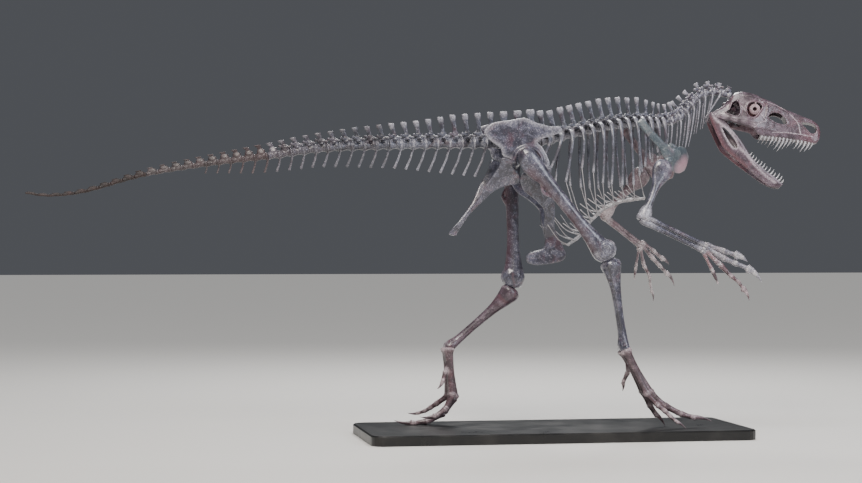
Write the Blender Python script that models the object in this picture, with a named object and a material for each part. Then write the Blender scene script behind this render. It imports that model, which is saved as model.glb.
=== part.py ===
"""A mounted skeleton of a small early meat-eating dinosaur, at life size.

Metres, +X towards the head, +Y to the animal's left, +Z up. The origin is the
middle of the underside of the base. Bones are worked out from lengths, angles
and rules of growth. Each is made a little long and then cut back from the bone
that it meets, so that the two lie face to face.
"""
import math

import bmesh
import bpy
from mathutils import Matrix, Vector

GAP = 0.0003             # clearance between two pieces that meet
FLAT_ANGLE = math.radians(2.5)           # faces that turn less than this are merged
LEFT, RIGHT = 1, -1      # the sign of y on each side
SIDES = (("right", RIGHT), ("left", LEFT))

# Base
BASE_LENGTH, BASE_WIDTH, BASE_HEIGHT = 1.16, 0.46, 0.030
BASE_CORNER = 0.040
BASE_CHAMFER = 0.004

# Line through the middles of the vertebrae, from the tail tip to the skull
SPINE_LINE = (
    (-1.564, 0, 0.731), (-1.493, 0, 0.7235), (-1.390, 0, 0.737), (-1.228, 0, 0.784),
    (-1.042, 0, 0.818), (-0.850, 0, 0.844), (-0.690, 0, 0.868), (-0.464, 0, 0.880),
    (-0.240, 0, 0.886), (-0.060, 0, 0.891), (0.050, 0, 0.914), (0.160, 0, 0.941),
    (0.260, 0, 0.955), (0.342, 0, 0.954), (0.399, -0.001, 0.970), (0.434, -0.003, 1.005),
    (0.466, -0.007, 1.038), (0.515, -0.015, 1.050), (0.560, -0.026, 1.036))

# Regions of the spine: rear end, front end, number of vertebrae, and the length
# of the front one over that of the rear one
TAIL_REGION = (-1.564, -0.165, 39, 1.05)
SACRAL_REGION = (-0.165, -0.034, 3, 1.0)
DORSAL_REGION = (-0.034, 0.352, 14, 0.62)
NECK_REGION = (0.352, 0.560, 9, 1.0)
TAIL_SPLITS = (0, 10, 20, 30, 39)        # vertebrae counted from the tail tip
TAIL_NAMES = ("tail_tip", "tail_rear", "tail_middle", "tail_base")
NECK_SPLIT = 5                           # vertebrae in the rear half of the neck

# Sizes along the spine, as (x, size)
CENTRUM_RADIUS = (
    (-1.564, 0.0030), (-1.40, 0.0050), (-1.19, 0.0068), (-1.05, 0.0085), (-0.90, 0.0105),
    (-0.76, 0.0130), (-0.46, 0.0160), (-0.20, 0.0180), (-0.03, 0.0170), (0.35, 0.0135),
    (0.560, 0.0115))
SPINE_HEIGHT = (
    (-1.564, 0.0050), (-1.30, 0.0100), (-1.19, 0.016), (-1.00, 0.022), (-0.90, 0.029),
    (-0.80, 0.033), (-0.69, 0.038), (-0.60, 0.050), (-0.488, 0.060), (-0.39, 0.072),
    (-0.30, 0.085), (-0.148, 0.095), (-0.058, 0.097), (0.01, 0.086), (0.18, 0.083),
    (0.27, 0.075), (0.318, 0.062), (0.36, 0.050), (0.40, 0.052), (0.46, 0.042),
    (0.52, 0.028), (0.560, 0.024))
SPINE_LEAN = (
    (-1.564, 0.8), (-0.90, 0.55), (-0.50, 0.28), (-0.20, 0.08), (-0.05, 0.0),
    (0.15, 0.08), (0.34, 0.02), (0.42, 0.0), (0.560, 0.15))
SPINE_LENGTH = (                         # front to back, over the vertebra's length
    (-1.564, 0.45), (-0.50, 0.42), (-0.20, 0.46), (0.0, 0.58), (0.30, 0.58), (0.560, 0.56))
PROCESS_REACH = (
    (-1.564, 0.0), (-0.80, 0.008), (-0.60, 0.024), (-0.20, 0.046), (-0.03, 0.040),
    (0.20, 0.044), (0.35, 0.034), (0.560, 0.020))
SPINE_THICKNESS = 0.0034
ARCH_WIDTH = 0.0085
LOW_SPINE = 0.014                        # lower ones have no arch of their own
PROCESS_LIMIT = 0.010                    # shorter processes are left off

# Chevrons, the small bones under the tail, as (x, length)
CHEVRON_LENGTH = (
    (-1.05, 0.018), (-0.90, 0.036), (-0.70, 0.043), (-0.45, 0.058), (-0.18, 0.090))
CHEVRON_LEAN = 0.30
CHEVRON_SIZE = 0.0042

# Rib cage, one value for each rib from the front
RIB_SPREAD = (0.050, 0.060, 0.069, 0.077, 0.083, 0.088, 0.092, 0.094, 0.094, 0.092,
              0.088, 0.081, 0.071, 0.060)
RIB_END = {
    RIGHT: (0.865, 0.850, 0.832, 0.818, 0.790, 0.762, 0.760, 0.763, 0.766, 0.798,
            0.812, 0.770, 0.812, 0.840),
    LEFT: (0.865, 0.845, 0.805, 0.775, 0.765, 0.760, 0.756, 0.755, 0.755, 0.757,
           0.762, 0.775, 0.802, 0.832)}
RIB_SWEEP = (0.004, 0.004, 0.003, 0.003, 0.009, 0.015, 0.006, 0.000, 0.001, 0.001,
             -0.004, -0.021, -0.033, -0.024)
RIB_LINE = ((0.10, -0.05), (0.46, -0.11), (0.84, 0.02), (1.00, 0.30), (0.98, 0.62), (0.82, 1.0))
RIB_DEPTH = (0.0050, 0.0055, 0.0060, 0.0050, 0.0042, 0.0038)
RIB_THICKNESS = (0.0042, 0.0036, 0.0030, 0.0028, 0.0026, 0.0024)

# Neck ribs, from the rear: length, and how far each trails back as it hangs
NECK_RIBS = ((0.080, 0.05), (0.085, 0.05), (0.100, 0.08), (0.118, 0.12), (0.098, 0.08),
             (0.095, 0.06), (0.085, 0.20), (0.078, 0.62))
NECK_RIB_SPREAD = 0.020
NECK_RIB_SIZE = 0.0021

# Belly ribs: rows that hang in a V from the rib cage, joined along the keel
KEEL_LINE = ((0.292, 0.722), (0.222, 0.712), (0.165, 0.688), (0.122, 0.650), (0.092, 0.610),
             (0.052, 0.580))
BELLY_ROWS = 11
BELLY_ROW_RADIUS = 0.0019
FIRST_BELLY_RIB, TIED_ROWS = 4, 8        # the rows that are tied to rib ends
FREE_ROW_REACH = Vector((-0.075, 0.052, 0.060))

# Skull and lower jaw, in their own frames: x forward from the jaw joint, z up
JAW_JOINT = (0.507, -0.016, 0.966)
SKULL_YAW, SKULL_PITCH, SKULL_ROLL = -14.0, 8.0, -7.0
JAW_DROP = 38.0
SKULL_STATIONS = (                       # x, underside, roof, half width
    (-0.014, -0.004, 0.010, 0.054), (0.002, -0.007, 0.022, 0.056), (0.020, -0.008, 0.037, 0.057),
    (0.036, -0.009, 0.060, 0.057), (0.050, -0.010, 0.081, 0.057), (0.070, -0.015, 0.090, 0.057),
    (0.094, -0.017, 0.090, 0.056), (0.118, -0.021, 0.087, 0.053), (0.134, -0.035, 0.082, 0.049),
    (0.150, -0.039, 0.078, 0.044), (0.175, -0.038, 0.071, 0.038), (0.205, -0.036, 0.059, 0.032),
    (0.238, -0.035, 0.050, 0.027), (0.270, -0.034, 0.042, 0.023), (0.300, -0.036, 0.034, 0.019),
    (0.318, -0.033, 0.022, 0.014), (0.327, -0.018, 0.004, 0.007))
SKULL_SECTION = ((0.0, 1.0), (0.60, 0.99), (0.84, 0.88), (0.96, 0.50), (1.0, 0.16), (0.90, 0.0),
                 (0.0, 0.0))
SKULL_WALL = 0.0075
PALATE_START, PALATE_THICKNESS = 0.150, 0.012
CAVITY_END = 0.235
SKULL_OPENINGS = {
    "eye_socket": ((0.092, 0.034), (0.096, 0.052), (0.114, 0.061), (0.132, 0.059), (0.140, 0.047),
                   (0.132, 0.032), (0.123, 0.016), (0.112, 0.011), (0.099, 0.017)),
    "cheek": ((0.030, 0.016), (0.042, 0.026), (0.046, 0.046), (0.058, 0.056), (0.069, 0.046),
              (0.074, 0.020), (0.066, 0.008), (0.048, 0.010)),
    "snout_side": ((0.160, 0.022), (0.176, 0.039), (0.199, 0.037), (0.216, 0.022), (0.220, 0.010),
                   (0.205, 0.006), (0.181, 0.010)),
    "nostril": ((0.263, 0.021), (0.287, 0.024), (0.306, 0.020), (0.314, 0.008), (0.309, -0.005),
                (0.298, -0.002), (0.285, 0.009))}
UPPER_TEETH = (0.020, 0.027, 0.025, 0.027, 0.024, 0.027, 0.030, 0.036, 0.025, 0.021, 0.015, 0.010)
UPPER_TOOTH_ROW = (0.306, 0.150)
LOWER_TEETH = (0.010, 0.016, 0.015, 0.014, 0.013, 0.013, 0.012, 0.011, 0.010, 0.010, 0.009)
LOWER_TOOTH_ROW = (0.284, 0.158)
TOOTH_WIDTH, TOOTH_THICKNESS, TOOTH_ROOT = 0.0044, 0.0026, 0.005
EYE_RING_RADIUS, EYE_HOLE_RADIUS, EYE_RING_DEPTH = 0.0165, 0.0060, 0.004
EYE_PLACE = (0.117, 0.038)
JAW_STATIONS = (                         # x, underside, top, middle of the branch
    (-0.016, -0.012, 0.001, 0.050), (-0.002, -0.018, 0.009, 0.050), (0.014, -0.025, 0.005, 0.050),
    (0.036, -0.033, 0.011, 0.049), (0.060, -0.042, 0.010, 0.047), (0.085, -0.049, 0.008, 0.044),
    (0.112, -0.048, 0.005, 0.040), (0.142, -0.046, -0.001, 0.035), (0.175, -0.042, -0.006, 0.029),
    (0.210, -0.038, -0.003, 0.022), (0.245, -0.033, 0.003, 0.014), (0.274, -0.024, 0.008, 0.007),
    (0.291, -0.011, 0.009, 0.0045))
JAW_THICKNESS = 0.0095
JAW_OPENING = ((0.036, -0.008), (0.055, -0.003), (0.082, -0.005), (0.104, -0.009), (0.118, -0.018),
               (0.108, -0.028), (0.086, -0.026), (0.060, -0.019))

# Shoulder: line of the blade down into the coracoid, with half width and half thickness
SHOULDER_LINE = (
    (0.256, 0.073, 0.956, 0.0125, 0.0025), (0.288, 0.085, 0.916, 0.0125, 0.0035),
    (0.320, 0.092, 0.880, 0.0135, 0.0045), (0.343, 0.094, 0.856, 0.0250, 0.0080),
    (0.366, 0.086, 0.842, 0.0400, 0.0065), (0.390, 0.070, 0.834, 0.0400, 0.0050),
    (0.410, 0.052, 0.828, 0.0240, 0.0035))
LEFT_SHOULDER_SHIFT = Vector((-0.006, 0, -0.020))

# Arms: lengths, and for each side the pitch in side view and the splay outwards
HUMERUS_LENGTH, FOREARM_LENGTH = 0.186, 0.198
SHOULDER_JOINT = (0.328, 0.101, 0.826)
ARM_POSE = {RIGHT: ((-114.5, 9.0), (-25.7, 5.5)), LEFT: ((-132.0, 12.0), (-32.0, 30.0))}
HUMERUS_SHAPE = (                        # fraction of length, half width, half depth
    (-0.03, 0.009, 0.017), (0.04, 0.012, 0.028), (0.16, 0.010, 0.032), (0.28, 0.009, 0.026),
    (0.42, 0.009, 0.013), (0.60, 0.0085, 0.010), (0.80, 0.010, 0.013), (0.93, 0.014, 0.021),
    (1.02, 0.011, 0.017))
ULNA_SHAPE = ((-0.09, 0.006, 0.006), (0.0, 0.009, 0.010), (0.12, 0.0065, 0.0085),
              (0.5, 0.0055, 0.0065), (0.85, 0.006, 0.007), (1.0, 0.007, 0.0085))
RADIUS_SHAPE = ((0.02, 0.0085, 0.0085), (0.12, 0.006, 0.006), (0.5, 0.005, 0.0055),
                (0.85, 0.006, 0.006), (1.0, 0.007, 0.0085))
FOREARM_SPACING = 0.0085

# Hands: for each finger its bones' lengths from the wrist, its place across the
# wrist, and its bones' pitches on each side
FINGERS = (
    (1, (0.053, 0.043, 0.043), 0.012), (2, (0.063, 0.040, 0.044, 0.064), 0.004),
    (3, (0.067, 0.046, 0.031, 0.024, 0.044), -0.004), (4, (0.063, 0.044), -0.012))
FINGER_PITCH = {
    RIGHT: ((-20, -18, -25), (-31, -23, -22, -40), (-43, -46, -37, -55, -58), (-63, -66)),
    LEFT: ((-33, -36, -32), (-44, -42, -40, -48), (-72, -55, -76, -72, -70), (-93, -91))}
HAND_SPLAY = {RIGHT: 2.0, LEFT: 24.0}
FINGER_SIZE = (0.0085, 0.0095, 0.0080, 0.0050)
FINGER_CURL = 42.0

# Hips, from the middle of the hip socket. Outlines are seen from the side.
HIP = (-0.092, 0.079, 0.827)
SOCKET_RADIUS = 0.037
BLADE_THICKNESS = 0.010
ILIUM_OUTLINE = (
    (-0.132, 0.086), (-0.122, 0.104), (-0.100, 0.118), (-0.053, 0.124), (-0.008, 0.132),
    (0.030, 0.117), (0.072, 0.107), (0.100, 0.107), (0.104, 0.090), (0.064, 0.076),
    (0.030, 0.062), (0.044, 0.046), (0.060, 0.020), (0.068, -0.010), (0.042, -0.013),
    (0.036, 0.006), (0.020, 0.031), (0.000, 0.037), (-0.022, 0.030), (-0.038, 0.010),
    (-0.050, 0.008), (-0.070, 0.014), (-0.078, 0.026), (-0.082, 0.042), (-0.108, 0.060))
PUBIS_OUTLINE = (
    (0.070, -0.012), (0.074, -0.038), (0.078, -0.072), (0.088, -0.102), (0.095, -0.142),
    (0.098, -0.192), (0.112, -0.222), (0.130, -0.259), (0.136, -0.280), (0.123, -0.296),
    (0.086, -0.305), (0.046, -0.308), (0.021, -0.302), (0.015, -0.287), (0.026, -0.271),
    (0.055, -0.263), (0.072, -0.250), (0.072, -0.217), (0.065, -0.182), (0.063, -0.142),
    (0.030, -0.109), (-0.006, -0.083), (-0.020, -0.042), (0.008, -0.034), (0.040, -0.016))
ISCHIUM_OUTLINE = (
    (-0.050, 0.005), (-0.077, 0.012), (-0.086, -0.012), (-0.101, -0.039), (-0.123, -0.072),
    (-0.142, -0.113), (-0.173, -0.155), (-0.221, -0.209), (-0.215, -0.218), (-0.203, -0.219),
    (-0.194, -0.203), (-0.167, -0.158), (-0.136, -0.125), (-0.106, -0.095), (-0.084, -0.080),
    (-0.060, -0.071), (-0.022, -0.062), (-0.022, -0.039), (-0.034, -0.030), (-0.043, -0.012))
PUBIS_LEAN = (0.810, 0.080, 0.605)       # height and place at the hip, height at the midline
ISCHIUM_LEAN = (0.832, 0.080, 0.618)

# Legs: lengths, and for each side the pitch in side view and the splay outwards
FEMUR_LENGTH, TIBIA_LENGTH, FOOT_LENGTH = 0.390, 0.278, 0.152
LEG_TOP = (-0.098, 0.118, 0.838)
LEG_POSE = {
    RIGHT: ((-50.1, -2.0), (-80.3, 0.5), (-58.7, 0.5)),
    LEFT: ((-89.2, -2.0), (-138.3, 0.5), (-82.0, 0.5))}
FEMUR_SHAPE = (
    (-0.07, 0.012, 0.016), (-0.02, 0.019, 0.028), (0.10, 0.020, 0.027), (0.26, 0.018, 0.021),
    (0.60, 0.017, 0.0185), (0.80, 0.020, 0.023), (0.90, 0.027, 0.034), (0.97, 0.028, 0.036),
    (1.02, 0.020, 0.025))
TROCHANTER = (0.20, 0.36, 0.030)         # from, to, how far it stands behind the shaft
FEMUR_HEAD_RADIUS = 0.025
TIBIA_SHAPE = (
    (0.02, 0.022, 0.026), (0.07, 0.025, 0.031), (0.17, 0.017, 0.023), (0.32, 0.0135, 0.015),
    (0.62, 0.012, 0.0125), (0.84, 0.014, 0.013), (0.95, 0.022, 0.015), (1.00, 0.024, 0.013))
FIBULA_SHAPE = (
    (0.06, 0.0060, 0.0140), (0.16, 0.0048, 0.0100), (0.35, 0.0038, 0.0060),
    (0.80, 0.0034, 0.0050), (0.95, 0.0050, 0.0080))
FIBULA_OFFSET = (0.0285, 0.0240, 0.0200, 0.0185, 0.0245)
FOOT_BONES = (                           # toe, length, across at top and bottom, behind, size
    (2, 0.142, 0.015, 0.022, 0.010, 0.0125), (3, 0.152, 0.000, 0.000, 0.000, 0.0140),
    (4, 0.146, -0.015, -0.022, 0.014, 0.0125))
TOES = (                                 # toe, bones' lengths, size
    (1, (0.034, 0.032), 0.0080), (2, (0.046, 0.036, 0.054), 0.0115),
    (3, (0.056, 0.058, 0.042, 0.066), 0.0135), (4, (0.044, 0.028, 0.021, 0.026, 0.042), 0.0110))
TOE_PITCH = {
    RIGHT: ((-112, -88), (-62, -55, -46), (-41, -27, -17, -9), (-46, -40, -46, -42, -36)),
    LEFT: ((-108, -128), (-116, -146, -174), (-124, -153, -176, -185), (-140, -142, -142, -158, -176))}
TOE_TURN = {RIGHT: (-14, -9, 0, 11), LEFT: (-14, -5, 0, 32)}
TOE_CURL = 34.0
HALLUX_PLACE = (0.44, 0.022, 0.020)      # down the foot, across, behind

FINISHES = {
    "slate_bone": ((0.21, 0.21, 0.26), 0.42), "pale_bone": ((0.42, 0.40, 0.42), 0.42),
    "rose_bone": ((0.33, 0.20, 0.22), 0.40), "skull_bone": ((0.36, 0.27, 0.30), 0.38),
    "green_bone": ((0.30, 0.31, 0.27), 0.42), "ring_bone": ((0.62, 0.48, 0.48), 0.40),
    "dark_bone": ((0.14, 0.09, 0.10), 0.42), "black_base": ((0.012, 0.012, 0.013), 0.35)}


def clear_scene():
    for thing in list(bpy.data.objects):
        bpy.data.objects.remove(thing, do_unlink=True)


def graded(table, x):
    """The size at x, read along a table of (x, size)."""
    if x <= table[0][0]:
        return table[0][1]
    for (x0, v0), (x1, v1) in zip(table, table[1:]):
        if x <= x1:
            return v0 + (v1 - v0) * (x - x0) / (x1 - x0)
    return table[-1][1]


def smooth_line(points, steps=8):
    """Points of a smooth curve that runs through the given ones."""
    points = [Vector(p) for p in points]
    ends = [2 * points[0] - points[1]] + points + [2 * points[-1] - points[-2]]
    line = []
    for a, b, c, d in zip(ends, ends[1:], ends[2:], ends[3:]):
        for i in range(steps):
            t = i / steps
            line.append(0.5 * (2 * b + (c - a) * t + (2 * a - 5 * b + 4 * c - d) * t * t
                               + (3 * b - a - 3 * c + d) * t ** 3))
    line.append(points[-1])
    return line


def as_object(bm, name="piece"):
    """A mesh object with its faces pointing out."""
    bmesh.ops.recalc_face_normals(bm, faces=bm.faces)
    mesh = bpy.data.meshes.new(name)
    bm.to_mesh(mesh)
    bm.free()
    thing = bpy.data.objects.new(name, mesh)
    bpy.context.scene.collection.objects.link(thing)
    return thing


def loft(rings):
    """A closed body through rings of equal count."""
    bm = bmesh.new()
    loops = [[bm.verts.new(p) for p in ring] for ring in rings]
    count = len(rings[0])
    for low, high in zip(loops, loops[1:]):
        for i in range(count):
            j = (i + 1) % count
            bm.faces.new((low[i], low[j], high[j], high[i]))
    bm.faces.new(loops[0][::-1])
    bm.faces.new(loops[-1])
    return as_object(bm)


def ring(centre, across, depth, half_width, half_depth, sides):
    """A closed ring of points: a box of four corners, or an ellipse."""
    if sides == 4:
        corners = ((1, 1), (-1, 1), (-1, -1), (1, -1))
        return [centre + i * half_width * across + j * half_depth * depth for i, j in corners]
    turns = [2 * math.pi * (k + 0.5) / sides for k in range(sides)]
    return [centre + half_width * math.cos(t) * across + half_depth * math.sin(t) * depth
            for t in turns]


def sweep(points, sizes, sides=8, across=(0, 1, 0)):
    """A body along a line of points, with a half width and half depth at each."""
    points = [Vector(p) for p in points]
    rings = []
    for i, (point, (half_width, half_depth)) in enumerate(zip(points, sizes)):
        tangent = (points[min(i + 1, len(points) - 1)] - points[max(i - 1, 0)]).normalized()
        side = Vector(across)
        side = (side - side.dot(tangent) * tangent).normalized()
        rings.append(ring(point, side, tangent.cross(side), half_width, half_depth, sides))
    return loft(rings)


def straight(start, end, shape, sides=8, across=(0, 1, 0), offsets=None):
    """A bone between two points: shape gives (fraction, half width, half depth)."""
    start, end = Vector(start), Vector(end)
    offsets = offsets or [Vector()] * len(shape)
    points = [start.lerp(end, 0) + (end - start) * t + o for (t, _, _), o in zip(shape, offsets)]
    return sweep(points, [(w, d) for _, w, d in shape], sides, across)


def plate(outline, thickness, place=(0, 0, 0)):
    """A flat piece seen from the side, from its outline in x and z."""
    curve = bpy.data.curves.new("outline", "CURVE")
    curve.dimensions = "2D"
    curve.fill_mode = "BOTH"
    curve.extrude = thickness / 2
    spline = curve.splines.new("POLY")
    spline.points.add(len(outline) - 1)
    for point, (x, z) in zip(spline.points, outline):
        point.co = (x, z, 0, 1)
    spline.use_cyclic_u = True
    guide = bpy.data.objects.new("outline", curve)
    bpy.context.scene.collection.objects.link(guide)
    guide.matrix_world = Matrix.Translation(place) @ Matrix.Rotation(math.radians(90), 4, "X")
    bpy.context.view_layer.update()
    mesh = bpy.data.meshes.new_from_object(guide.evaluated_get(bpy.context.evaluated_depsgraph_get()))
    bm = bmesh.new()
    bm.from_mesh(mesh)
    bmesh.ops.remove_doubles(bm, verts=bm.verts, dist=1e-6)
    bmesh.ops.transform(bm, matrix=guide.matrix_world, verts=bm.verts)
    bpy.data.objects.remove(guide, do_unlink=True)
    return as_object(bm)


def body_sizes(bm):
    """The faces of each closed surface in a mesh, with its volume."""
    left, groups = set(bm.faces), []
    while left:
        stack, faces = [left.pop()], []
        while stack:
            face = stack.pop()
            faces.append(face)
            near = {f for edge in face.edges for f in edge.link_faces} & left
            left -= near
            stack.extend(near)
        volume = 0.0
        for face in faces:
            first = face.verts[0].co
            for a, b in zip(face.verts[1:], face.verts[2:]):
                volume += first.dot(a.co.cross(b.co)) / 6
        groups.append((abs(volume), faces))
    return sorted(groups, key=lambda group: group[0])


def keep_largest(bm):
    """Drops the scraps and sealed hollows that a union or a cut may leave."""
    for _, faces in body_sizes(bm)[:-1]:
        bmesh.ops.delete(bm, geom=faces, context="FACES")
    loose = [v for v in bm.verts if not v.link_faces]
    bmesh.ops.delete(bm, geom=loose, context="VERTS")


def is_closed(mesh):
    uses = {}
    for polygon in mesh.polygons:
        for key in polygon.edge_keys:
            uses[key] = uses.get(key, 0) + 1
    return bool(uses) and all(count == 2 for count in uses.values())


def combine(base, others, operation):
    """Joins or cuts base with other closed objects, which are then removed."""
    group = bpy.data.collections.new("group")
    bpy.context.scene.collection.children.link(group)
    for other in others:
        group.objects.link(other)
    step = base.modifiers.new("combine", "BOOLEAN")
    step.operation = operation
    step.operand_type = "COLLECTION"
    step.collection = group
    for solver in ("EXACT", "MANIFOLD"):
        step.solver = solver
        bpy.context.view_layer.update()
        graph = bpy.context.evaluated_depsgraph_get()
        mesh = bpy.data.meshes.new_from_object(base.evaluated_get(graph))
        if is_closed(mesh):
            break
    base.modifiers.remove(step)
    for other in others:
        bpy.data.objects.remove(other, do_unlink=True)
    bpy.data.collections.remove(group)
    bm = bmesh.new()
    bm.from_mesh(mesh)
    keep_largest(bm)
    bmesh.ops.dissolve_limit(bm, angle_limit=FLAT_ANGLE, verts=bm.verts, edges=bm.edges)
    bmesh.ops.triangulate(bm, faces=bm.faces)
    bm.to_mesh(base.data)
    bm.free()
    return base


def join(pieces):
    return combine(pieces[0], pieces[1:], "UNION") if len(pieces) > 1 else pieces[0]


def cut(base, others):
    return combine(base, others, "DIFFERENCE")


def grown_copy(thing, by=GAP):
    """A copy whose faces stand out by a small distance."""
    bm = bmesh.new()
    bm.from_mesh(thing.data)
    bm.normal_update()
    moves = [v.normal * by * min(v.calc_shell_factor(), 2.5) for v in bm.verts]
    for vertex, move in zip(bm.verts, moves):
        vertex.co += move
    mesh = bpy.data.meshes.new("grown")
    bm.to_mesh(mesh)
    bm.free()
    copy = bpy.data.objects.new("grown", mesh)
    bpy.context.scene.collection.objects.link(copy)
    return copy


def seat(thing, neighbours):
    """Cuts a bone back from the bones that it meets, so that a gap is left."""
    return cut(thing, [grown_copy(n) for n in neighbours])


def half_space(axis, sign, limit):
    """A large block on one side of a plane across x, y or z, to cut with."""
    size = 4.0
    bm = bmesh.new()
    bmesh.ops.create_cube(bm, size=size)
    block = as_object(bm)
    place = Vector()
    place[axis] = limit + sign * size / 2
    block.data.transform(Matrix.Translation(place))
    return block


def copy_of(thing):
    copy = bpy.data.objects.new("copy", thing.data.copy())
    bpy.context.scene.collection.objects.link(copy)
    return copy


def direction(pitch, splay, side):
    """A unit vector with a pitch in side view and a splay away from the midline."""
    p, s = math.radians(pitch), math.radians(splay)
    return Vector((math.cos(s) * math.cos(p), side * math.sin(s), math.cos(s) * math.sin(p)))


def on_side(point, side):
    return Vector((point[0], side * point[1], point[2]))


class Spine:
    """The line of the vertebrae, read by distance from the tail tip."""

    def __init__(self, points):
        self.points = smooth_line(points, 24)
        self.marks = [0.0]
        for a, b in zip(self.points, self.points[1:]):
            self.marks.append(self.marks[-1] + (b - a).length)

    def distance(self, x):
        for a, b, mark in zip(self.points, self.points[1:], self.marks):
            if a.x <= x <= b.x:
                return mark + (b - a).length * (x - a.x) / (b.x - a.x)
        return self.marks[-1]

    def frame(self, distance):
        """A point with its forward, left and up directions."""
        last = len(self.points) - 2
        i = max(k for k in range(last + 1) if self.marks[k] <= max(distance, 0) or k == 0)
        a, b = self.points[i], self.points[i + 1]
        point = a.lerp(b, (distance - self.marks[i]) / (b - a).length)
        before, after = self.points[max(i - 2, 0)], self.points[min(i + 3, last + 1)]
        forward = (after - before).normalized()
        left = Vector((0, 0, 1)).cross(forward).normalized()
        return point, forward, left, forward.cross(left)

    def region(self, rear, front, count, growth):
        """Where the vertebrae of a region meet, from its rear end to its front end."""
        start, end = self.distance(rear), self.distance(front)
        lengths = [1 + (growth - 1) * (k + 0.5) / count for k in range(count)]
        total, marks = sum(lengths), [start]
        for length in lengths:
            marks.append(marks[-1] + (end - start) * length / total)
        return marks


def column(spine, marks, sides):
    """The bodies of a run of vertebrae, each narrower at its waist."""
    points, sizes = [], []
    for i, mark in enumerate(marks):
        point, _, _, _ = spine.frame(mark)
        radius = graded(CENTRUM_RADIUS, point.x)
        points.append(point)
        sizes.append((radius, radius))
        if i + 1 < len(marks):
            middle, _, _, _ = spine.frame((mark + marks[i + 1]) / 2)
            radius = graded(CENTRUM_RADIUS, middle.x)
            points.append(middle)
            sizes.append((0.74 * radius, 0.78 * radius))
    return sweep(points, sizes, sides)


def neural_spine(spine, rear, front):
    """The arch and the tall blade on top of one vertebra."""
    length = front - rear
    point, forward, left, up = spine.frame((rear + front) / 2)
    radius = graded(CENTRUM_RADIUS, point.x)
    height = graded(SPINE_HEIGHT, point.x)
    lean = graded(SPINE_LEAN, point.x)
    blade = graded(SPINE_LENGTH, point.x) * length / 2
    arch_top = min(radius + 0.009, 0.55 * height + 0.3 * radius)
    size = min(1.0, radius / 0.012)
    heights = (0.2 * radius, arch_top, height)
    widths = (ARCH_WIDTH * size, 0.5 * ARCH_WIDTH * size, SPINE_THICKNESS * size)
    depths = (0.38 * length, 0.35 * length, blade)
    if height < LOW_SPINE:
        heights, widths, depths = heights[::2], widths[::2], depths[::2]
    rings = []
    for h, w, d in zip(heights, widths, depths):
        centre = point + h * up - lean * max(h - arch_top, 0) * forward
        rings.append(ring(centre, left, forward, w, d, 4))
    return loft(rings)


def processes(spine, rear, front, reach=None, drop=0.0, thickness=0.0032):
    """The pair of wings that stand out sideways from one vertebra."""
    length = front - rear
    point, forward, left, up = spine.frame((rear + front) / 2)
    reach = reach or graded(PROCESS_REACH, point.x)
    if reach < PROCESS_LIMIT:
        return None
    radius = graded(CENTRUM_RADIUS, point.x)
    root = point + (min(radius, 0.015) * 0.9 - drop) * up
    tips = [root + s * reach * left + 0.10 * reach * up - 0.12 * reach * forward for s in (-1, 1)]
    sizes = ((0.13 * length, 0.8 * thickness), (0.26 * length, thickness * 1.2),
             (0.13 * length, 0.8 * thickness))
    return sweep((tips[0], root, tips[1]), sizes, 4, across=forward)


def chevron(spine, mark):
    point, forward, _, up = spine.frame(mark)
    if not CHEVRON_LENGTH[0][0] <= point.x <= CHEVRON_LENGTH[-1][0]:
        return None
    length = graded(CHEVRON_LENGTH, point.x)
    radius = graded(CENTRUM_RADIUS, point.x)
    down = -(up + CHEVRON_LEAN * forward).normalized()
    top = point - 0.55 * radius * up
    middle = top + down * (0.45 * length + 0.45 * radius)
    tip = top + down * (length + 0.45 * radius) - 0.10 * length * forward
    size = CHEVRON_SIZE * min(1.0, radius / 0.013)
    return sweep((top, middle, tip), ((size, size), (0.55 * size, 0.9 * size), (0.4 * size, size)), 4)


def vertebrae(spine, marks, sides):
    """The pieces of a run of vertebrae, without ribs."""
    pieces = [column(spine, marks, sides)]
    for rear, front in zip(marks, marks[1:]):
        pieces.append(neural_spine(spine, rear, front))
        wings = processes(spine, rear, front)
        if wings:
            pieces.append(wings)
    return pieces


def make_tail(spine):
    """The four lengths of the tail, from the tip to the base."""
    marks = spine.region(*TAIL_REGION)
    nodes, behind = {}, []
    for name, first, last in zip(TAIL_NAMES, TAIL_SPLITS, TAIL_SPLITS[1:]):
        part = marks[first:last + 1]
        part[0] += GAP / 2 if first else 0.0
        part[-1] -= GAP / 2
        pieces = vertebrae(spine, part, 6)
        inner = part[1:-1]
        pieces += [c for c in (chevron(spine, m) for m in inner) if c]
        nodes[name] = seat(join(pieces), behind) if behind else join(pieces)
        behind = [nodes[name]]
    return nodes


def make_neck(spine, behind):
    """The two halves of the neck, with the long thin ribs that hang from them."""
    marks = spine.region(*NECK_REGION)
    nodes = {}
    for name, first, last in (("neck_rear", 0, NECK_SPLIT), ("neck_front", NECK_SPLIT, NECK_REGION[2])):
        part = marks[first:last + 1]
        part[0] += GAP / 2
        part[-1] -= GAP / 2
        pieces = vertebrae(spine, part, 6)
        for k, (rear, front) in enumerate(zip(part, part[1:])):
            if first + k < len(NECK_RIBS):
                length, trail = NECK_RIBS[first + k]
                pieces += [neck_rib(spine, rear, front, length, trail, side) for _, side in SIDES]
        nodes[name] = seat(join(pieces), behind)
        behind = [nodes[name]]
    return nodes


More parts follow.
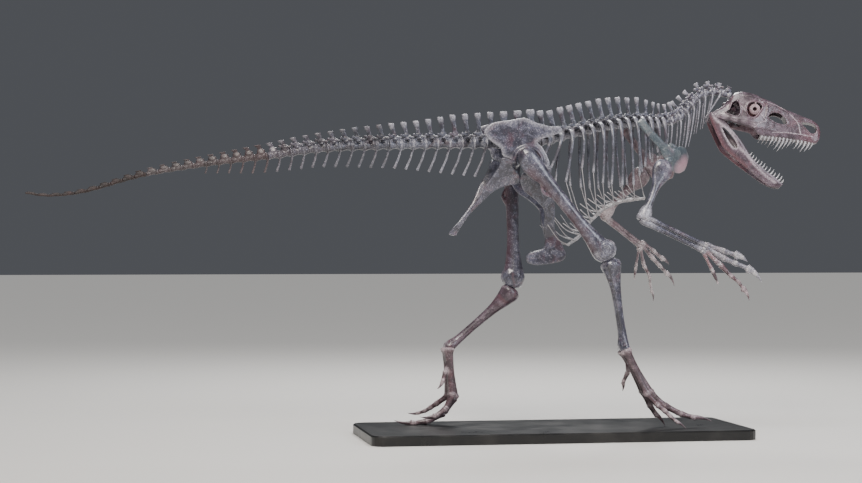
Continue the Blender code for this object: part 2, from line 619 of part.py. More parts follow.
def neck_rib(spine, rear, front, length, trail, side):
    point, forward, left, up = spine.frame(rear + 0.7 * (front - rear))
    radius = graded(CENTRUM_RADIUS, point.x)
    hang = Vector((-trail, 0, -1)).normalized()
    root = point + side * 0.5 * radius * left - 0.4 * radius * up
    knee = point + side * NECK_RIB_SPREAD * left - 1.1 * radius * up
    middle = knee + 0.5 * length * hang
    tip = knee + length * hang - 0.04 * length * Vector((1, 0, 0))
    size = NECK_RIB_SIZE
    sizes = ((1.4 * size, 1.6 * size), (1.2 * size, 1.5 * size), (size, size), (0.5 * size, 0.5 * size))
    return sweep((root, knee, middle, tip), sizes, 3)


def rib_points(spine, marks, k, side):
    """The line of rib k, counted from the front."""
    rear, front = marks[-k - 2], marks[-k - 1]
    point, _, _, _ = spine.frame(rear + 0.6 * (front - rear))
    drop = point.z - RIB_END[side][k]
    points = []
    for i, (out, down) in enumerate(RIB_LINE):
        sweep_back = RIB_SWEEP[k] * max(down, 0)
        height = point.z - down * (drop if i > 1 else 0.10)
        points.append(Vector((point.x + sweep_back, side * out * RIB_SPREAD[k], height)))
    return points


def make_trunk(spine, sacrum):
    """The two sides of the trunk: half of each vertebra with its rib."""
    marks = spine.region(*DORSAL_REGION)
    marks[0] += GAP / 2
    marks[-1] -= GAP / 2
    pieces = vertebrae(spine, marks, 6)
    for _, side in SIDES:
        for k in range(DORSAL_REGION[2]):
            sizes = [(d, t) for d, t in zip(RIB_DEPTH, RIB_THICKNESS)]
            pieces.append(sweep(rib_points(spine, marks, k, side), sizes, 4, across=(1, 0, 0)))
    whole = seat(join(pieces), [sacrum])
    nodes = {}
    for name, side in SIDES:
        nodes["trunk_" + name] = cut(copy_of(whole), [half_space(1, -side, side * GAP / 2)])
    bpy.data.objects.remove(whole, do_unlink=True)
    return nodes


def make_sacrum(spine):
    """The vertebrae between the hip blades, with the stout ribs that carry them."""
    marks = spine.region(*SACRAL_REGION)
    marks[0] += GAP / 2
    marks[-1] -= GAP / 2
    pieces = [column(spine, marks, 8)]
    reach = HIP[1] - BLADE_THICKNESS / 2 + 0.003
    for rear, front in zip(marks, marks[1:]):
        pieces.append(neural_spine(spine, rear, front))
        pieces.append(processes(spine, rear, front, reach, drop=0.010, thickness=0.011))
    return join(pieces)


def belly_row(centre, left_end, right_end):
    """One V of the belly ribs, from its left end through the keel to its right end."""
    points = [left_end]
    for end in (left_end, right_end):
        reach = end - centre
        points.append(centre + Vector((0.40 * reach.x, 0.62 * reach.y, 0.22 * reach.z)))
    points = [points[0], points[1], centre, points[2], right_end]
    sizes = [(BELLY_ROW_RADIUS * k,) * 2 for k in (0.9, 1.0, 1.5, 1.0, 0.9)]
    return sweep(points, sizes, 3, across=(1, 0, 0))


def make_belly_ribs(spine):
    """The basket of thin rows under the belly, tied along its keel to the rib ends."""
    keel = smooth_line([(x, 0, z) for x, z in KEEL_LINE], 3)
    pieces = [sweep(keel, [(0.0034, 0.0022)] * len(keel), 4)]
    marks = spine.region(*DORSAL_REGION)
    for k in range(BELLY_ROWS):
        place = k / (BELLY_ROWS - 1)
        i = min(int(place * (len(keel) - 1)), len(keel) - 2)
        centre = keel[i].lerp(keel[i + 1], place * (len(keel) - 1) - i)
        if k < TIED_ROWS:
            rib = FIRST_BELLY_RIB + k
            ends = [rib_points(spine, marks, rib, side)[-1] + Vector((0, 0, 0.001)) for side in (LEFT, RIGHT)]
        else:
            ends = [centre + on_side(FREE_ROW_REACH, side) for side in (LEFT, RIGHT)]
        pieces.append(belly_row(centre, *ends))
    return join(pieces)


def skull_frame(drop=0.0):
    turn = (Matrix.Rotation(math.radians(SKULL_YAW), 4, "Z")
            @ Matrix.Rotation(math.radians(SKULL_PITCH), 4, "Y")
            @ Matrix.Rotation(math.radians(SKULL_ROLL), 4, "X")
            @ Matrix.Rotation(math.radians(drop), 4, "Y"))
    return Matrix.Translation(JAW_JOINT) @ turn


def skull_half_width(x):
    return graded([(station[0], station[3]) for station in SKULL_STATIONS], x)


def skull_floor(x):
    return graded([(station[0], station[1]) for station in SKULL_STATIONS], x)


def skull_ring(x, low, high, half_width):
    """One section across the skull, narrower at the roof than at the cheeks."""
    right = [Vector((x, -w * half_width, low + h * (high - low))) for w, h in SKULL_SECTION]
    left = [Vector((x, w * half_width, low + h * (high - low))) for w, h in SKULL_SECTION[-2:0:-1]]
    return right + left


def tooth(place, point_to, width, thickness):
    """One tooth, flattened from side to side, with its root sunk in the jaw."""
    sizes = ((thickness, width), (0.0004, 0.0006))
    return sweep((place, point_to), sizes, 4)


def make_skull():
    wall = SKULL_WALL
    shell = loft([skull_ring(x, low, high, w) for x, low, high, w in SKULL_STATIONS])
    inside = [(-0.03, -0.09, 0.0, 0.050)]
    for x, low, high, w in SKULL_STATIONS[1::2]:
        if x < CAVITY_END:
            floor = -0.09 if x < PALATE_START else low + PALATE_THICKNESS
            inside.append((x, floor, high - wall, w - wall))
    tools = [loft([skull_ring(*station) for station in inside])]
    for outline in SKULL_OPENINGS.values():
        tools.append(plate(outline, 0.2))
    shell = cut(shell, tools)
    pieces = [shell]
    brain_line = ((0.036, 0, 0.052), (0.060, 0, 0.056), (0.100, 0, 0.066))
    pieces.append(sweep(brain_line, ((0.016, 0.012), (0.024, 0.020), (0.016, 0.020)), 6))
    first, last = UPPER_TOOTH_ROW
    for k, length in enumerate(UPPER_TEETH):
        x = first + (last - first) * k / (len(UPPER_TEETH) - 1)
        for _, side in SIDES:
            y = side * (skull_half_width(x) * 0.93 - TOOTH_THICKNESS)
            root = Vector((x, y, skull_floor(x) + TOOTH_ROOT))
            tip = Vector((x - 0.30 * length, y, skull_floor(x) - length))
            pieces.append(tooth(root, tip, TOOTH_WIDTH, TOOTH_THICKNESS))
    skull = join(pieces)
    skull.data.transform(skull_frame())
    return skull


def make_eye_ring(side, skull):
    """The ring of thin plates in the eye socket, held by a tab at its top."""
    bm = bmesh.new()
    x, z = EYE_PLACE
    count = 12
    y = side * (skull_half_width(x) * 0.955 - EYE_RING_DEPTH)
    rings = []
    for radius, offset in ((EYE_RING_RADIUS, -0.5), (EYE_RING_RADIUS, 0.2), (EYE_HOLE_RADIUS, 0.5),
                           (EYE_HOLE_RADIUS, -0.2)):
        rings.append([bm.verts.new((x + radius * math.cos(2 * math.pi * k / count),
                                    y + side * offset * EYE_RING_DEPTH,
                                    z + radius * math.sin(2 * math.pi * k / count)))
                      for k in range(count)])
    for near, far in zip(rings, rings[1:] + rings[:1]):
        for k in range(count):
            j = (k + 1) % count
            bm.faces.new((near[k], near[j], far[j], far[k]))
    eye = as_object(bm)
    top = Vector((x, y - side * 0.001, z + 0.92 * EYE_RING_RADIUS))
    tab = sweep((top, top + Vector((0, 0, 0.012))), ((0.0015, 0.004), (0.0015, 0.004)), 4)
    eye = join([eye, tab])
    eye.data.transform(skull_frame())
    return seat(eye, [skull])


def make_lower_jaw():
    half = JAW_THICKNESS / 2
    pieces = []
    for _, side in SIDES:
        rings = []
        for x, low, high, middle in JAW_STATIONS:
            centre = Vector((x, side * middle, (low + high) / 2))
            rings.append(ring(centre, Vector((0, 1, 0)), Vector((0, 0, 1)), half,
                              (high - low) / 2, 6))
        pieces.append(loft(rings))
    hole = plate(JAW_OPENING, 0.2)
    pieces = [cut(branch, [copy_of(hole)]) for branch in pieces]
    bpy.data.objects.remove(hole, do_unlink=True)
    tops = [(station[0], station[2]) for station in JAW_STATIONS]
    middles = [(station[0], station[3]) for station in JAW_STATIONS]
    first, last = LOWER_TOOTH_ROW
    for k, length in enumerate(LOWER_TEETH):
        x = first + (last - first) * k / (len(LOWER_TEETH) - 1)
        for _, side in SIDES:
            y = side * graded(middles, x)
            root = Vector((x, y, graded(tops, x) - TOOTH_ROOT))
            tip = Vector((x - 0.10 * length, y, graded(tops, x) + length))
            pieces.append(tooth(root, tip, 0.85 * TOOTH_WIDTH, TOOTH_THICKNESS))
    jaw = join(pieces)
    jaw.data.transform(skull_frame(JAW_DROP))
    return jaw


def shoulder_shift(side):
    return LEFT_SHOULDER_SHIFT if side == LEFT else Vector()


def make_shoulder(side, ribs):
    points, sizes = [], []
    for x, y, z, half_width, half_thickness in SHOULDER_LINE:
        points.append(Vector((x, side * y, z)) + shoulder_shift(side))
        sizes.append((half_thickness, half_width))
    return seat(sweep(points, sizes, 8), [ribs])


def digit(start, lengths, pitches, splay, side, size, curl, sides=6):
    """A finger or toe: joints wide, shafts narrow, and a curved claw at the end."""
    point, points, sizes = Vector(start), [], []
    for k, (length, pitch) in enumerate(zip(lengths[:-1], pitches[:-1])):
        radius = size * (1 - 0.12 * k)
        step = direction(pitch, splay, side) * length
        points += [point, point + 0.5 * step]
        sizes += [(radius, radius), (0.66 * radius, 0.68 * radius)]
        point = point + step
    radius = size * (1 - 0.12 * (len(lengths) - 1))
    count = 4
    for k in range(count):
        share = k / (count - 1)
        narrow = 1 - 0.92 * share
        points.append(point)
        sizes.append((0.75 * radius * narrow, radius * narrow))
        pitch = pitches[-1] - curl * (share - 0.3)
        point = point + direction(pitch, splay, side) * lengths[-1] / (count - 1)
    return sweep(points, sizes, sides)


def make_arm(side, shoulder):
    """Upper arm, the two forearm bones, the palm and the fingers of one side."""
    name = "left" if side == LEFT else "right"
    (upper_pitch, upper_splay), (lower_pitch, lower_splay) = ARM_POSE[side]
    top = on_side(SHOULDER_JOINT, side) + shoulder_shift(side)
    elbow = top + HUMERUS_LENGTH * direction(upper_pitch, upper_splay, side)
    reach = FOREARM_LENGTH * direction(lower_pitch, lower_splay, side)
    wrist = elbow + reach
    across = Vector((0, 1, 0))
    lift = reach.normalized().cross(across).normalized()
    lift = lift if lift.z > 0 else -lift
    nodes = {}
    humerus = seat(straight(top, elbow, HUMERUS_SHAPE), [shoulder])
    nodes["humerus_" + name] = humerus
    start = elbow + 0.010 * reach.normalized()
    low, high = -FOREARM_SPACING * lift, FOREARM_SPACING * lift
    ulna = seat(straight(start + low, wrist + low, ULNA_SHAPE, 6), [humerus])
    nodes["ulna_" + name] = ulna
    nodes["radius_" + name] = seat(straight(start + high, wrist + high, RADIUS_SHAPE, 6),
                                   [humerus, ulna])
    bones, tips = [], []
    carpal = 0.006 * reach.normalized()
    bones.append(sweep((wrist - 0.2 * carpal, wrist + 2 * carpal), ((0.008, 0.018), (0.007, 0.019)), 6))
    for (number, lengths, place), pitches in zip(FINGERS, FINGER_PITCH[side]):
        size = FINGER_SIZE[number - 1]
        base = wrist + 1.2 * carpal + place * lift
        end = base + lengths[0] * direction(pitches[0], HAND_SPLAY[side], side)
        shape = ((0.0, 0.8 * size, 0.8 * size), (0.5, 0.6 * size, 0.55 * size), (1.0, size, size))
        bones.append(straight(base, end, shape, 6))
        tips.append(end)
    palm = seat(join(bones), [ulna, nodes["radius_" + name]])
    nodes["palm_" + name] = palm
    for (number, lengths, _), pitches, tip in zip(FINGERS, FINGER_PITCH[side], tips):
        size = 0.94 * FINGER_SIZE[number - 1]
        start = tip - 0.001 * direction(pitches[1], HAND_SPLAY[side], side)
        if len(lengths) > 2:
            finger = digit(start, lengths[1:], pitches[1:], HAND_SPLAY[side], side, size, FINGER_CURL)
        else:
            end = start + lengths[1] * direction(pitches[1], HAND_SPLAY[side], side)
            shape = ((0.0, size, size), (0.5, 0.6 * size, 0.6 * size), (1.0, 0.5 * size, 0.5 * size))
            finger = straight(start, end, shape, 6)
        nodes["finger_%d_%s" % (number, name)] = seat(finger, [palm])
    return nodes


def lean_in(thing, lean, side, half_thickness):
    """Leans a flat hip bone in from the hip to the midline."""
    top, out, low = lean
    inner = half_thickness + GAP / 2
    bm = bmesh.new()
    bm.from_mesh(thing.data)
    bmesh.ops.triangulate(bm, faces=bm.faces)
    bmesh.ops.bisect_plane(bm, geom=bm.verts[:] + bm.edges[:] + bm.faces[:],
                           plane_co=(0, 0, low), plane_no=(0, 0, 1))
    for vertex in bm.verts:
        share = max(vertex.co.z - low, 0.0) / (top - low)
        vertex.co.y += side * (inner + share * (out - inner))
    bm.to_mesh(thing.data)
    bm.free()
    return thing


def make_hip(side, sacrum):
    """The three bones round one hip socket."""
    name = "left" if side == LEFT else "right"
    place = on_side(HIP, side)
    blade = plate(ILIUM_OUTLINE, BLADE_THICKNESS, place)
    rim = []
    for turn in range(-8, 200, 26):
        t = math.radians(turn)
        reach = SOCKET_RADIUS + 0.007
        rim.append(place + Vector((reach * math.cos(t), side * 0.004, reach * math.sin(t))))
    ilium = join([blade, sweep(rim, [(0.013, 0.0075)] * len(rim), 4)])
    flat = Vector((HIP[0], 0, HIP[2]))
    half = BLADE_THICKNESS / 2
    pubis = lean_in(plate(PUBIS_OUTLINE, BLADE_THICKNESS, flat), PUBIS_LEAN, side, half)
    ischium = lean_in(plate(ISCHIUM_OUTLINE, BLADE_THICKNESS, flat), ISCHIUM_LEAN, side, half)
    ilium = seat(ilium, [sacrum])
    pubis = seat(pubis, [ilium])
    ischium = seat(ischium, [ilium, pubis])
    return {"ilium_" + name: ilium, "pubis_" + name: pubis, "ischium_" + name: ischium}


def make_leg(side, hip):
    """Thigh, shin, foot and toes of one side."""
    name = "left" if side == LEFT else "right"
    lengths = (FEMUR_LENGTH, TIBIA_LENGTH, FOOT_LENGTH)
    joints = [on_side(LEG_TOP, side)]
    for length, (pitch, splay) in zip(lengths, LEG_POSE[side]):
        joints.append(joints[-1] + length * direction(pitch, splay, side))
    top, knee, ankle, ball = joints
    head_line = (top, top - Vector((0, side * 0.024, 0)), top - Vector((0, side * 0.044, 0)))
    radius = FEMUR_HEAD_RADIUS
    head = sweep(head_line, ((0.9 * radius,) * 2, (radius,) * 2, (0.7 * radius,) * 2), 8, (1, 0, 0))
    ahead = (knee - top).cross(Vector((0, 1, 0))).normalized()
    ahead = ahead if ahead.x > 0 else -ahead
    start, end, height = TROCHANTER
    crest_line = [top.lerp(knee, t) - h * ahead
                  for t, h in ((start, 0.4 * height), ((start + end) / 2, height), (end, 0.4 * height))]
    crest = sweep(crest_line, ((0.004, 0.006), (0.003, 0.005), (0.004, 0.006)), 4)
    femur = seat(join([straight(top, knee, FEMUR_SHAPE), head, crest]), hip)
    tibia = seat(straight(knee, ankle, TIBIA_SHAPE), [femur])
    offsets = [Vector((0, side * o, 0)) for o in FIBULA_OFFSET]
    fibula = seat(straight(knee, ankle, FIBULA_SHAPE, 6, offsets=offsets), [femur, tibia])
    nodes = {"femur_" + name: femur, "tibia_" + name: tibia, "fibula_" + name: fibula}
    down = (ball - ankle).normalized()
    inward = Vector((0, -side, 0))
    behind = down.cross(inward).normalized()
    behind = behind if behind.x < 0 else -behind
    bones, ends = [], {}
    for number, length, upper, lower, back, size in FOOT_BONES:
        start = ankle + upper * inward
        end = ankle + length * down + lower * inward + back * behind
        shape = ((0.0, 0.9 * size, 1.1 * size), (0.10, 0.8 * size, size), (0.5, 0.62 * size, 0.75 * size),
                 (0.88, 0.9 * size, 0.9 * size), (1.0, 0.9 * size, size))
        bones.append(straight(start, end, shape, 6))
        ends[number] = end
    share, across, back = HALLUX_PLACE
    splint_end = ankle + share * FOOT_LENGTH * down + across * inward + back * behind
    bones.append(sweep((ankle + 0.10 * FOOT_LENGTH * down + 0.014 * inward, splint_end),
                       ((0.003, 0.003), (0.006, 0.006)), 4))
    ends[1] = splint_end
    foot = seat(join(bones), [tibia, fibula])
    nodes["metatarsus_" + name] = foot
    floor = half_space(2, -1, BASE_HEIGHT + GAP)
    for (number, toe_lengths, size), pitches, turn in zip(TOES, TOE_PITCH[side], TOE_TURN[side]):
        start = ends[number] - 0.001 * direction(pitches[0], turn, side)
        toe = digit(start, toe_lengths, pitches, turn, side, size, TOE_CURL)
        nodes["toe_%d_%s" % (number, name)] = seat(cut(toe, [copy_of(floor)]), [foot])
    bpy.data.objects.remove(floor, do_unlink=True)
    return nodes


def make_base():
    bm = bmesh.new()
    bmesh.ops.create_cube(bm, size=1.0)
    size = Matrix.Diagonal((BASE_LENGTH, BASE_WIDTH, BASE_HEIGHT, 1.0))
    bmesh.ops.transform(bm, matrix=size, verts=bm.verts)
    bmesh.ops.translate(bm, verts=bm.verts, vec=(0, 0, BASE_HEIGHT / 2))
    upright = [e for e in bm.edges if abs(e.verts[0].co.z - e.verts[1].co.z) > 0.001]
    bmesh.ops.bevel(bm, geom=upright, offset=BASE_CORNER, segments=5, profile=0.5,
                    affect="EDGES", clamp_overlap=True)
    rim = [e for e in bm.edges if all(v.co.z > BASE_HEIGHT - 0.001 for v in e.verts)]
    bmesh.ops.bevel(bm, geom=rim, offset=BASE_CHAMFER, segments=1, profile=0.5,
                    affect="EDGES", clamp_overlap=True)
    return as_object(bm)


def finish_of(name):
    """The name of the finish that a node has."""
    starts = (("stand", "black_base"), ("eye", "ring_bone"), ("skull", "skull_bone"),
              ("lower_jaw", "skull_bone"), ("scapula", "green_bone"), ("tail_tip", "dark_bone"),
              ("toe", "rose_bone"), ("metatarsus", "rose_bone"), ("finger_3", "rose_bone"),
              ("finger_4", "rose_bone"), ("finger", "pale_bone"), ("palm", "pale_bone"))
    for start, finish in starts:
        if name.startswith(start):
            return finish
    return "slate_bone"


def dress(nodes):
    """Names the finished bones, gives each its material and gathers them."""
    materials = {}
    for name, (colour, roughness) in FINISHES.items():
        material = bpy.data.materials.new(name)
        material.use_nodes = True
        shader = material.node_tree.nodes["Principled BSDF"]
        shader.inputs["Base Color"].default_value = (*colour, 1.0)
        shader.inputs["Roughness"].default_value = roughness
        materials[name] = material
    collection = bpy.data.collections.new("dinosaur_skeleton")
    bpy.context.scene.collection.children.link(collection)
    for name, thing in nodes.items():
        thing.name = name
        thing.data.name = name
        for owner in list(thing.users_collection):
            owner.objects.unlink(thing)
        collection.objects.link(thing)
        thing.data.materials.clear()
        thing.data.materials.append(materials[finish_of(name)])
        thing.data.shade_smooth()
        thing.data.set_sharp_from_angle(angle=math.radians(35))


def main():
    clear_scene()
    spine = Spine(SPINE_LINE)
    nodes = {"stand_base": make_base()}
    nodes.update(make_tail(spine))
    nodes["sacrum"] = seat(make_sacrum(spine), [nodes["tail_base"]])
    nodes.update(make_trunk(spine, nodes["sacrum"]))
    nodes.update(make_neck(spine, [nodes["trunk_right"], nodes["trunk_left"]]))
    nodes["gastralia"] = seat(make_belly_ribs(spine), [nodes["trunk_right"], nodes["trunk_left"]])
    skull = make_skull()
    nodes["skull"] = seat(skull, [nodes["neck_front"]])
    nodes["lower_jaw"] = seat(make_lower_jaw(), [skull])
    for name, side in SIDES:
        nodes["eye_ring_" + name] = make_eye_ring(side, skull)
        shoulder = make_shoulder(side, nodes["trunk_" + name])
        nodes["scapula_coracoid_" + name] = shoulder
        nodes.update(make_arm(side, shoulder))
        hip = make_hip(side, nodes["sacrum"])
        nodes.update(hip)
        nodes.update(make_leg(side, list(hip.values())))
    dress(nodes)


main()
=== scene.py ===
# %% [markdown]
# A museum mount of a small early meat-eating dinosaur, at life size. The frame
# holds the bones as plain solids. This script makes a finer bone over each of
# them, stains and varnishes it as the cast in the museum is, and lights it.

# %% Load the frame
import math

import bmesh
import bpy
from mathutils import Matrix, Vector, noise
from mathutils.bvhtree import BVHTree
from mathutils.kdtree import KDTree


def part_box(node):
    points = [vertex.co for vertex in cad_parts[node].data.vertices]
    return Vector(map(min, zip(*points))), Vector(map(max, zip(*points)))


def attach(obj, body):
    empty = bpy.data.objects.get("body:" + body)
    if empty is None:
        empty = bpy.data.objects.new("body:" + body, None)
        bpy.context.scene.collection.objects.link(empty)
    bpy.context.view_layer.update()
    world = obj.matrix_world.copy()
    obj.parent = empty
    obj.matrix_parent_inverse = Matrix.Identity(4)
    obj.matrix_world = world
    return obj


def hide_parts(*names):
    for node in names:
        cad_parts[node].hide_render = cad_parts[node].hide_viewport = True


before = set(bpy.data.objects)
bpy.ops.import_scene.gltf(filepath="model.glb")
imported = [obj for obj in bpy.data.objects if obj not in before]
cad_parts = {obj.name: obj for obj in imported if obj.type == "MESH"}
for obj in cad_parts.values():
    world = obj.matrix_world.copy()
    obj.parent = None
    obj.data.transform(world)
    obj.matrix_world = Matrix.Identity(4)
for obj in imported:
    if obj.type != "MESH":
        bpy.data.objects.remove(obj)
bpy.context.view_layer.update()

# %% [markdown]
# The camera comes first, since every later choice is judged through it. The
# picture was taken level, from far off and a little behind the animal's right
# side. A real lens length and distance give the same flattening of depth.

# %% Camera
TARGET = Vector((-0.37, 0.0, 0.59))
DISTANCE = 6.0
AZIMUTH = math.radians(-10)
PICTURE_WIDTH, FOCAL_PIXELS, SENSOR = 862, 2000, 36.0

camera = bpy.data.objects.new("camera", bpy.data.cameras.new("camera"))
bpy.context.scene.collection.objects.link(camera)
camera.location = TARGET + DISTANCE * Vector((math.sin(AZIMUTH), -math.cos(AZIMUTH), 0))
camera.rotation_euler = (math.radians(90), 0, AZIMUTH)
camera.data.sensor_width = SENSOR
camera.data.lens = FOCAL_PIXELS * SENSOR / PICTURE_WIDTH
camera.data.dof.use_dof = False
bpy.context.scene.camera = camera
print("lens", round(camera.data.lens, 1), "mm")

# %% [markdown]
# The solids were worked out from tables of sizes along the animal. The finer
# bones use the same sizes, so that each lies where its solid does. These
# readers find a size, a smooth curve, a direction and a mirrored place.


# %% Reading sizes
def graded(table, x):
    """The size at x, read along a table of (x, size)."""
    if x <= table[0][0]:
        return table[0][1]
    for (x0, v0), (x1, v1) in zip(table, table[1:]):
        if x <= x1:
            return v0 + (v1 - v0) * (x - x0) / (x1 - x0)
    return table[-1][1]


def on_curve(a, b, c, d, t):
    """A smooth curve from b at t = 0 to c at t = 1, with a before it and d after it."""
    return 0.5 * (2 * b + (c - a) * t + (2 * a - 5 * b + 4 * c - d) * t * t
                  + (3 * b - a - 3 * c + d) * t ** 3)


def eased(values, steps):
    """A smooth run of values through the given ones, for numbers or points."""
    ends = [2 * values[0] - values[1]] + list(values) + [2 * values[-1] - values[-2]]
    line = []
    for four in zip(ends, ends[1:], ends[2:], ends[3:]):
        line += [on_curve(*four, i / steps) for i in range(steps)]
    return line + [values[-1]]


def direction(pitch, splay, side):
    """A unit vector with a pitch in side view and a splay away from the midline."""
    p, s = math.radians(pitch), math.radians(splay)
    return Vector((math.cos(s) * math.cos(p), side * math.sin(s), math.cos(s) * math.sin(p)))


LEFT, RIGHT = 1, -1
SIDES = (("right", RIGHT), ("left", LEFT))


def on_side(point, side):
    """The point on the left as it is given, or its mirror image on the right."""
    return Vector((point[0], side * point[1], point[2]))


print("a size half way:", graded(((0, 1.0), (1, 2.0)), 0.5))

# %% [markdown]
# A sculptor builds a bone from a few masses of clay, blends them, and works the
# surface. The same is done here: tubes and lumps are laid over each other, a
# voxel remesh melts them into one skin, a smooth pass takes off the steps, and
# a cloud displacement leaves the faint unevenness of a cast bone. A voxel skin
# needs no clean joins, which Booleans on hundreds of pieces would.


# %% Clay: rounded rings, tubes and lumps
def rounded_ring(centre, across, depth, half_width, half_depth, sides, square=0.8):
    """A ring between an ellipse (1.0) and a box (towards 0)."""
    points = []
    for k in range(sides):
        t = 2 * math.pi * (k + 0.5) / sides
        c, s = math.cos(t), math.sin(t)
        c, s = math.copysign(abs(c) ** square, c), math.copysign(abs(s) ** square, s)
        points.append(centre + half_width * c * across + half_depth * s * depth)
    return points


def skin(bm, rings):
    """A closed surface through rings of equal count."""
    loops = [[bm.verts.new(p) for p in ring] for ring in rings]
    count = len(rings[0])
    for low, high in zip(loops, loops[1:]):
        for i in range(count):
            j = (i + 1) % count
            bm.faces.new((low[i], low[j], high[j], high[i]))
    bm.faces.new(loops[0][::-1])
    bm.faces.new(loops[-1])


TIP_REACH, TIP_SIZE = 0.35, 0.6          # a tube's rounded tip, as shares of its last ring


def tube(bm, points, sizes, sides=14, across=(0, 1, 0), steps=3, square=0.9, tips=True):
    """A tube along a smooth line, with a half width and half depth at each point."""
    line = eased([Vector(p) for p in points], steps)
    widths = [max(w, 0.0002) for w in eased([s[0] for s in sizes], steps)]
    depths = [max(d, 0.0002) for d in eased([s[1] for s in sizes], steps)]
    rings = []
    last = len(line) - 1
    for i, point in enumerate(line):
        tangent = (line[min(i + 1, last)] - line[max(i - 1, 0)]).normalized()
        wide = Vector(across)
        wide = (wide - wide.dot(tangent) * tangent).normalized()
        deep = tangent.cross(wide)
        ring = rounded_ring(point, wide, deep, widths[i], depths[i], sides, square)
        reach = TIP_REACH * min(widths[i], depths[i]) * tangent
        narrow = (wide, deep, TIP_SIZE * widths[i], TIP_SIZE * depths[i], sides, square)
        if tips and i == 0:
            rings.append(rounded_ring(point - reach, *narrow))
        rings.append(ring)
        if tips and i == last:
            rings.append(rounded_ring(point + reach, *narrow))
    skin(bm, rings)


def lump(bm, centre, sizes, forward=(1, 0, 0)):
    """An egg of clay: half lengths along forward, sideways and up."""
    ahead = Vector(forward).normalized()
    left = Vector((0, 1, 0))
    left = (left - left.dot(ahead) * ahead).normalized()
    turn = Matrix((ahead, left, ahead.cross(left))).transposed().to_4x4()
    place = Matrix.Translation(centre) @ turn @ Matrix.Diagonal((*sizes, 1.0))
    bmesh.ops.create_icosphere(bm, subdivisions=2, radius=1.0, matrix=place)


def shaft(bm, start, end, shape, sides=18, across=(0, 1, 0), offsets=None, square=0.95):
    """A long bone between two points: shape gives (fraction, half width, half depth)."""
    start, end = Vector(start), Vector(end)
    offsets = offsets or [Vector()] * len(shape)
    points = [start + (end - start) * t + o for (t, _, _), o in zip(shape, offsets)]
    tube(bm, points, [(w, d) for _, w, d in shape], sides, across, 4, square)


# %% [markdown]
# Firing turns the clay into one piece: it is skinned, smoothed, made a little
# uneven and thinned out, takes its finish, and rides on the mount in place of
# the solid that it stands for.

# %% Clay: firing it into a finished piece
CLOUDS = bpy.data.textures.new("cast_unevenness", "CLOUDS")
CLOUDS.noise_scale = 0.010               # swellings about 10 mm across
CLOUDS.noise_depth = 2
made = {}


def evaluated(thing):
    """The mesh that an object's modifiers give."""
    bpy.context.view_layer.update()
    graph = bpy.context.evaluated_depsgraph_get()
    return bpy.data.meshes.new_from_object(thing.evaluated_get(graph))


def solid(bm, name):
    """An object made of the clay as it is."""
    bmesh.ops.recalc_face_normals(bm, faces=bm.faces)
    mesh = bpy.data.meshes.new(name)
    bm.to_mesh(mesh)
    bm.free()
    thing = bpy.data.objects.new(name, mesh)
    bpy.context.scene.collection.objects.link(thing)
    return thing


def piece(name, bm, material, nodes=(), voxel=None, smooth=4, uneven=0.0007, keep=0.5,
          shape=None, wiped=None, flushed=None):
    """Turns clay into a named piece that rides on the mount.

    voxel is the grain of its skin, or none for parts that stay smooth tubes, and keep the share of
    the skin's triangles that stays: the flat parts need fewest. shape moves each vertex at the end.
    wiped and flushed say for each vertex how far the stain is rubbed off, or rosy; on the spools the
    paleness is partly painted light, and on the thigh bones' hind face the rose is partly painted shade.
    Past 1 is full.
    """
    thing = solid(bm, name)
    if voxel:
        remesh = thing.modifiers.new("skin", "REMESH")
        remesh.mode = "VOXEL"
        remesh.voxel_size = voxel
        soften = thing.modifiers.new("soften", "SMOOTH")
        soften.factor = 0.5
        soften.iterations = smooth
        work = thing.modifiers.new("unevenness", "DISPLACE")
        work.texture = CLOUDS
        work.texture_coords = "GLOBAL"
        work.strength = uneven
        work.mid_level = 0.5
        thin = thing.modifiers.new("thin_out", "DECIMATE")
        thin.ratio = keep
        mesh = evaluated(thing)
        thing.modifiers.clear()
        thing.data = mesh
        mesh.name = name
    if shape:
        for vertex in thing.data.vertices:
            vertex.co = shape(vertex.co.copy())
    for mark, share in (("wiped", wiped), ("flushed", flushed)):
        if share:
            layer = thing.data.attributes.new(mark, "FLOAT", "POINT")
            layer.data.foreach_set("value", [share(vertex.co) for vertex in thing.data.vertices])
    thing.data.materials.clear()
    thing.data.materials.append(material)
    thing.data.shade_smooth()
    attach(thing, "root")
    if nodes:
        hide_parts(*nodes)
    made[name] = sum(len(p.vertices) - 2 for p in thing.data.polygons)
    print(name, made[name], "triangles")


# %% [markdown]
# A painter wipes the stain off the high places: joint rims, spine tips, edges
# and seams. Other places, such as the snout and the outer hand, get a rosier
# wash. Each piece can carry these two marks for every vertex, worked out from
# the distance to a few chosen spots, which a tree search finds quickly.


# %% Where the stain is wiped off or rosier
def near(spots, reach, most=1.0):
    """A share that is most at any of the spots and falls to 0 at the reach."""
    tree = KDTree(len(spots))
    for i, spot in enumerate(spots):
        tree.insert(spot, i)
    tree.balance()
    return lambda p: most * max(0.0, 1.0 - tree.find(p)[2] / reach)


def spots_along(points, gap=0.002):
    """Spots along a line, no further than the gap apart."""
    spots = []
    for a, b in zip(points, points[1:]):
        count = max(1, math.ceil((b - a).length / gap))
        spots += [a.lerp(b, i / count) for i in range(count)]
    return spots + [points[-1]]


def either(*shares):
    """The larger of several shares."""
    return lambda p: max(share(p) for share in shares)


print("half way out:", near([Vector()], 1.0)(Vector((0.5, 0, 0))))

# %% [markdown]
# What the finish is: a resin and plaster cast, stained in thin washes over pale
# ground and then varnished. The washes pool, so the colour is never even: slate
# and mauve clouds a few centimetres wide, cream flecks of a few millimetres
# where the ground shows, and rose patches. Noise textures in object space give
# all of these at their real size. One function adds every node.


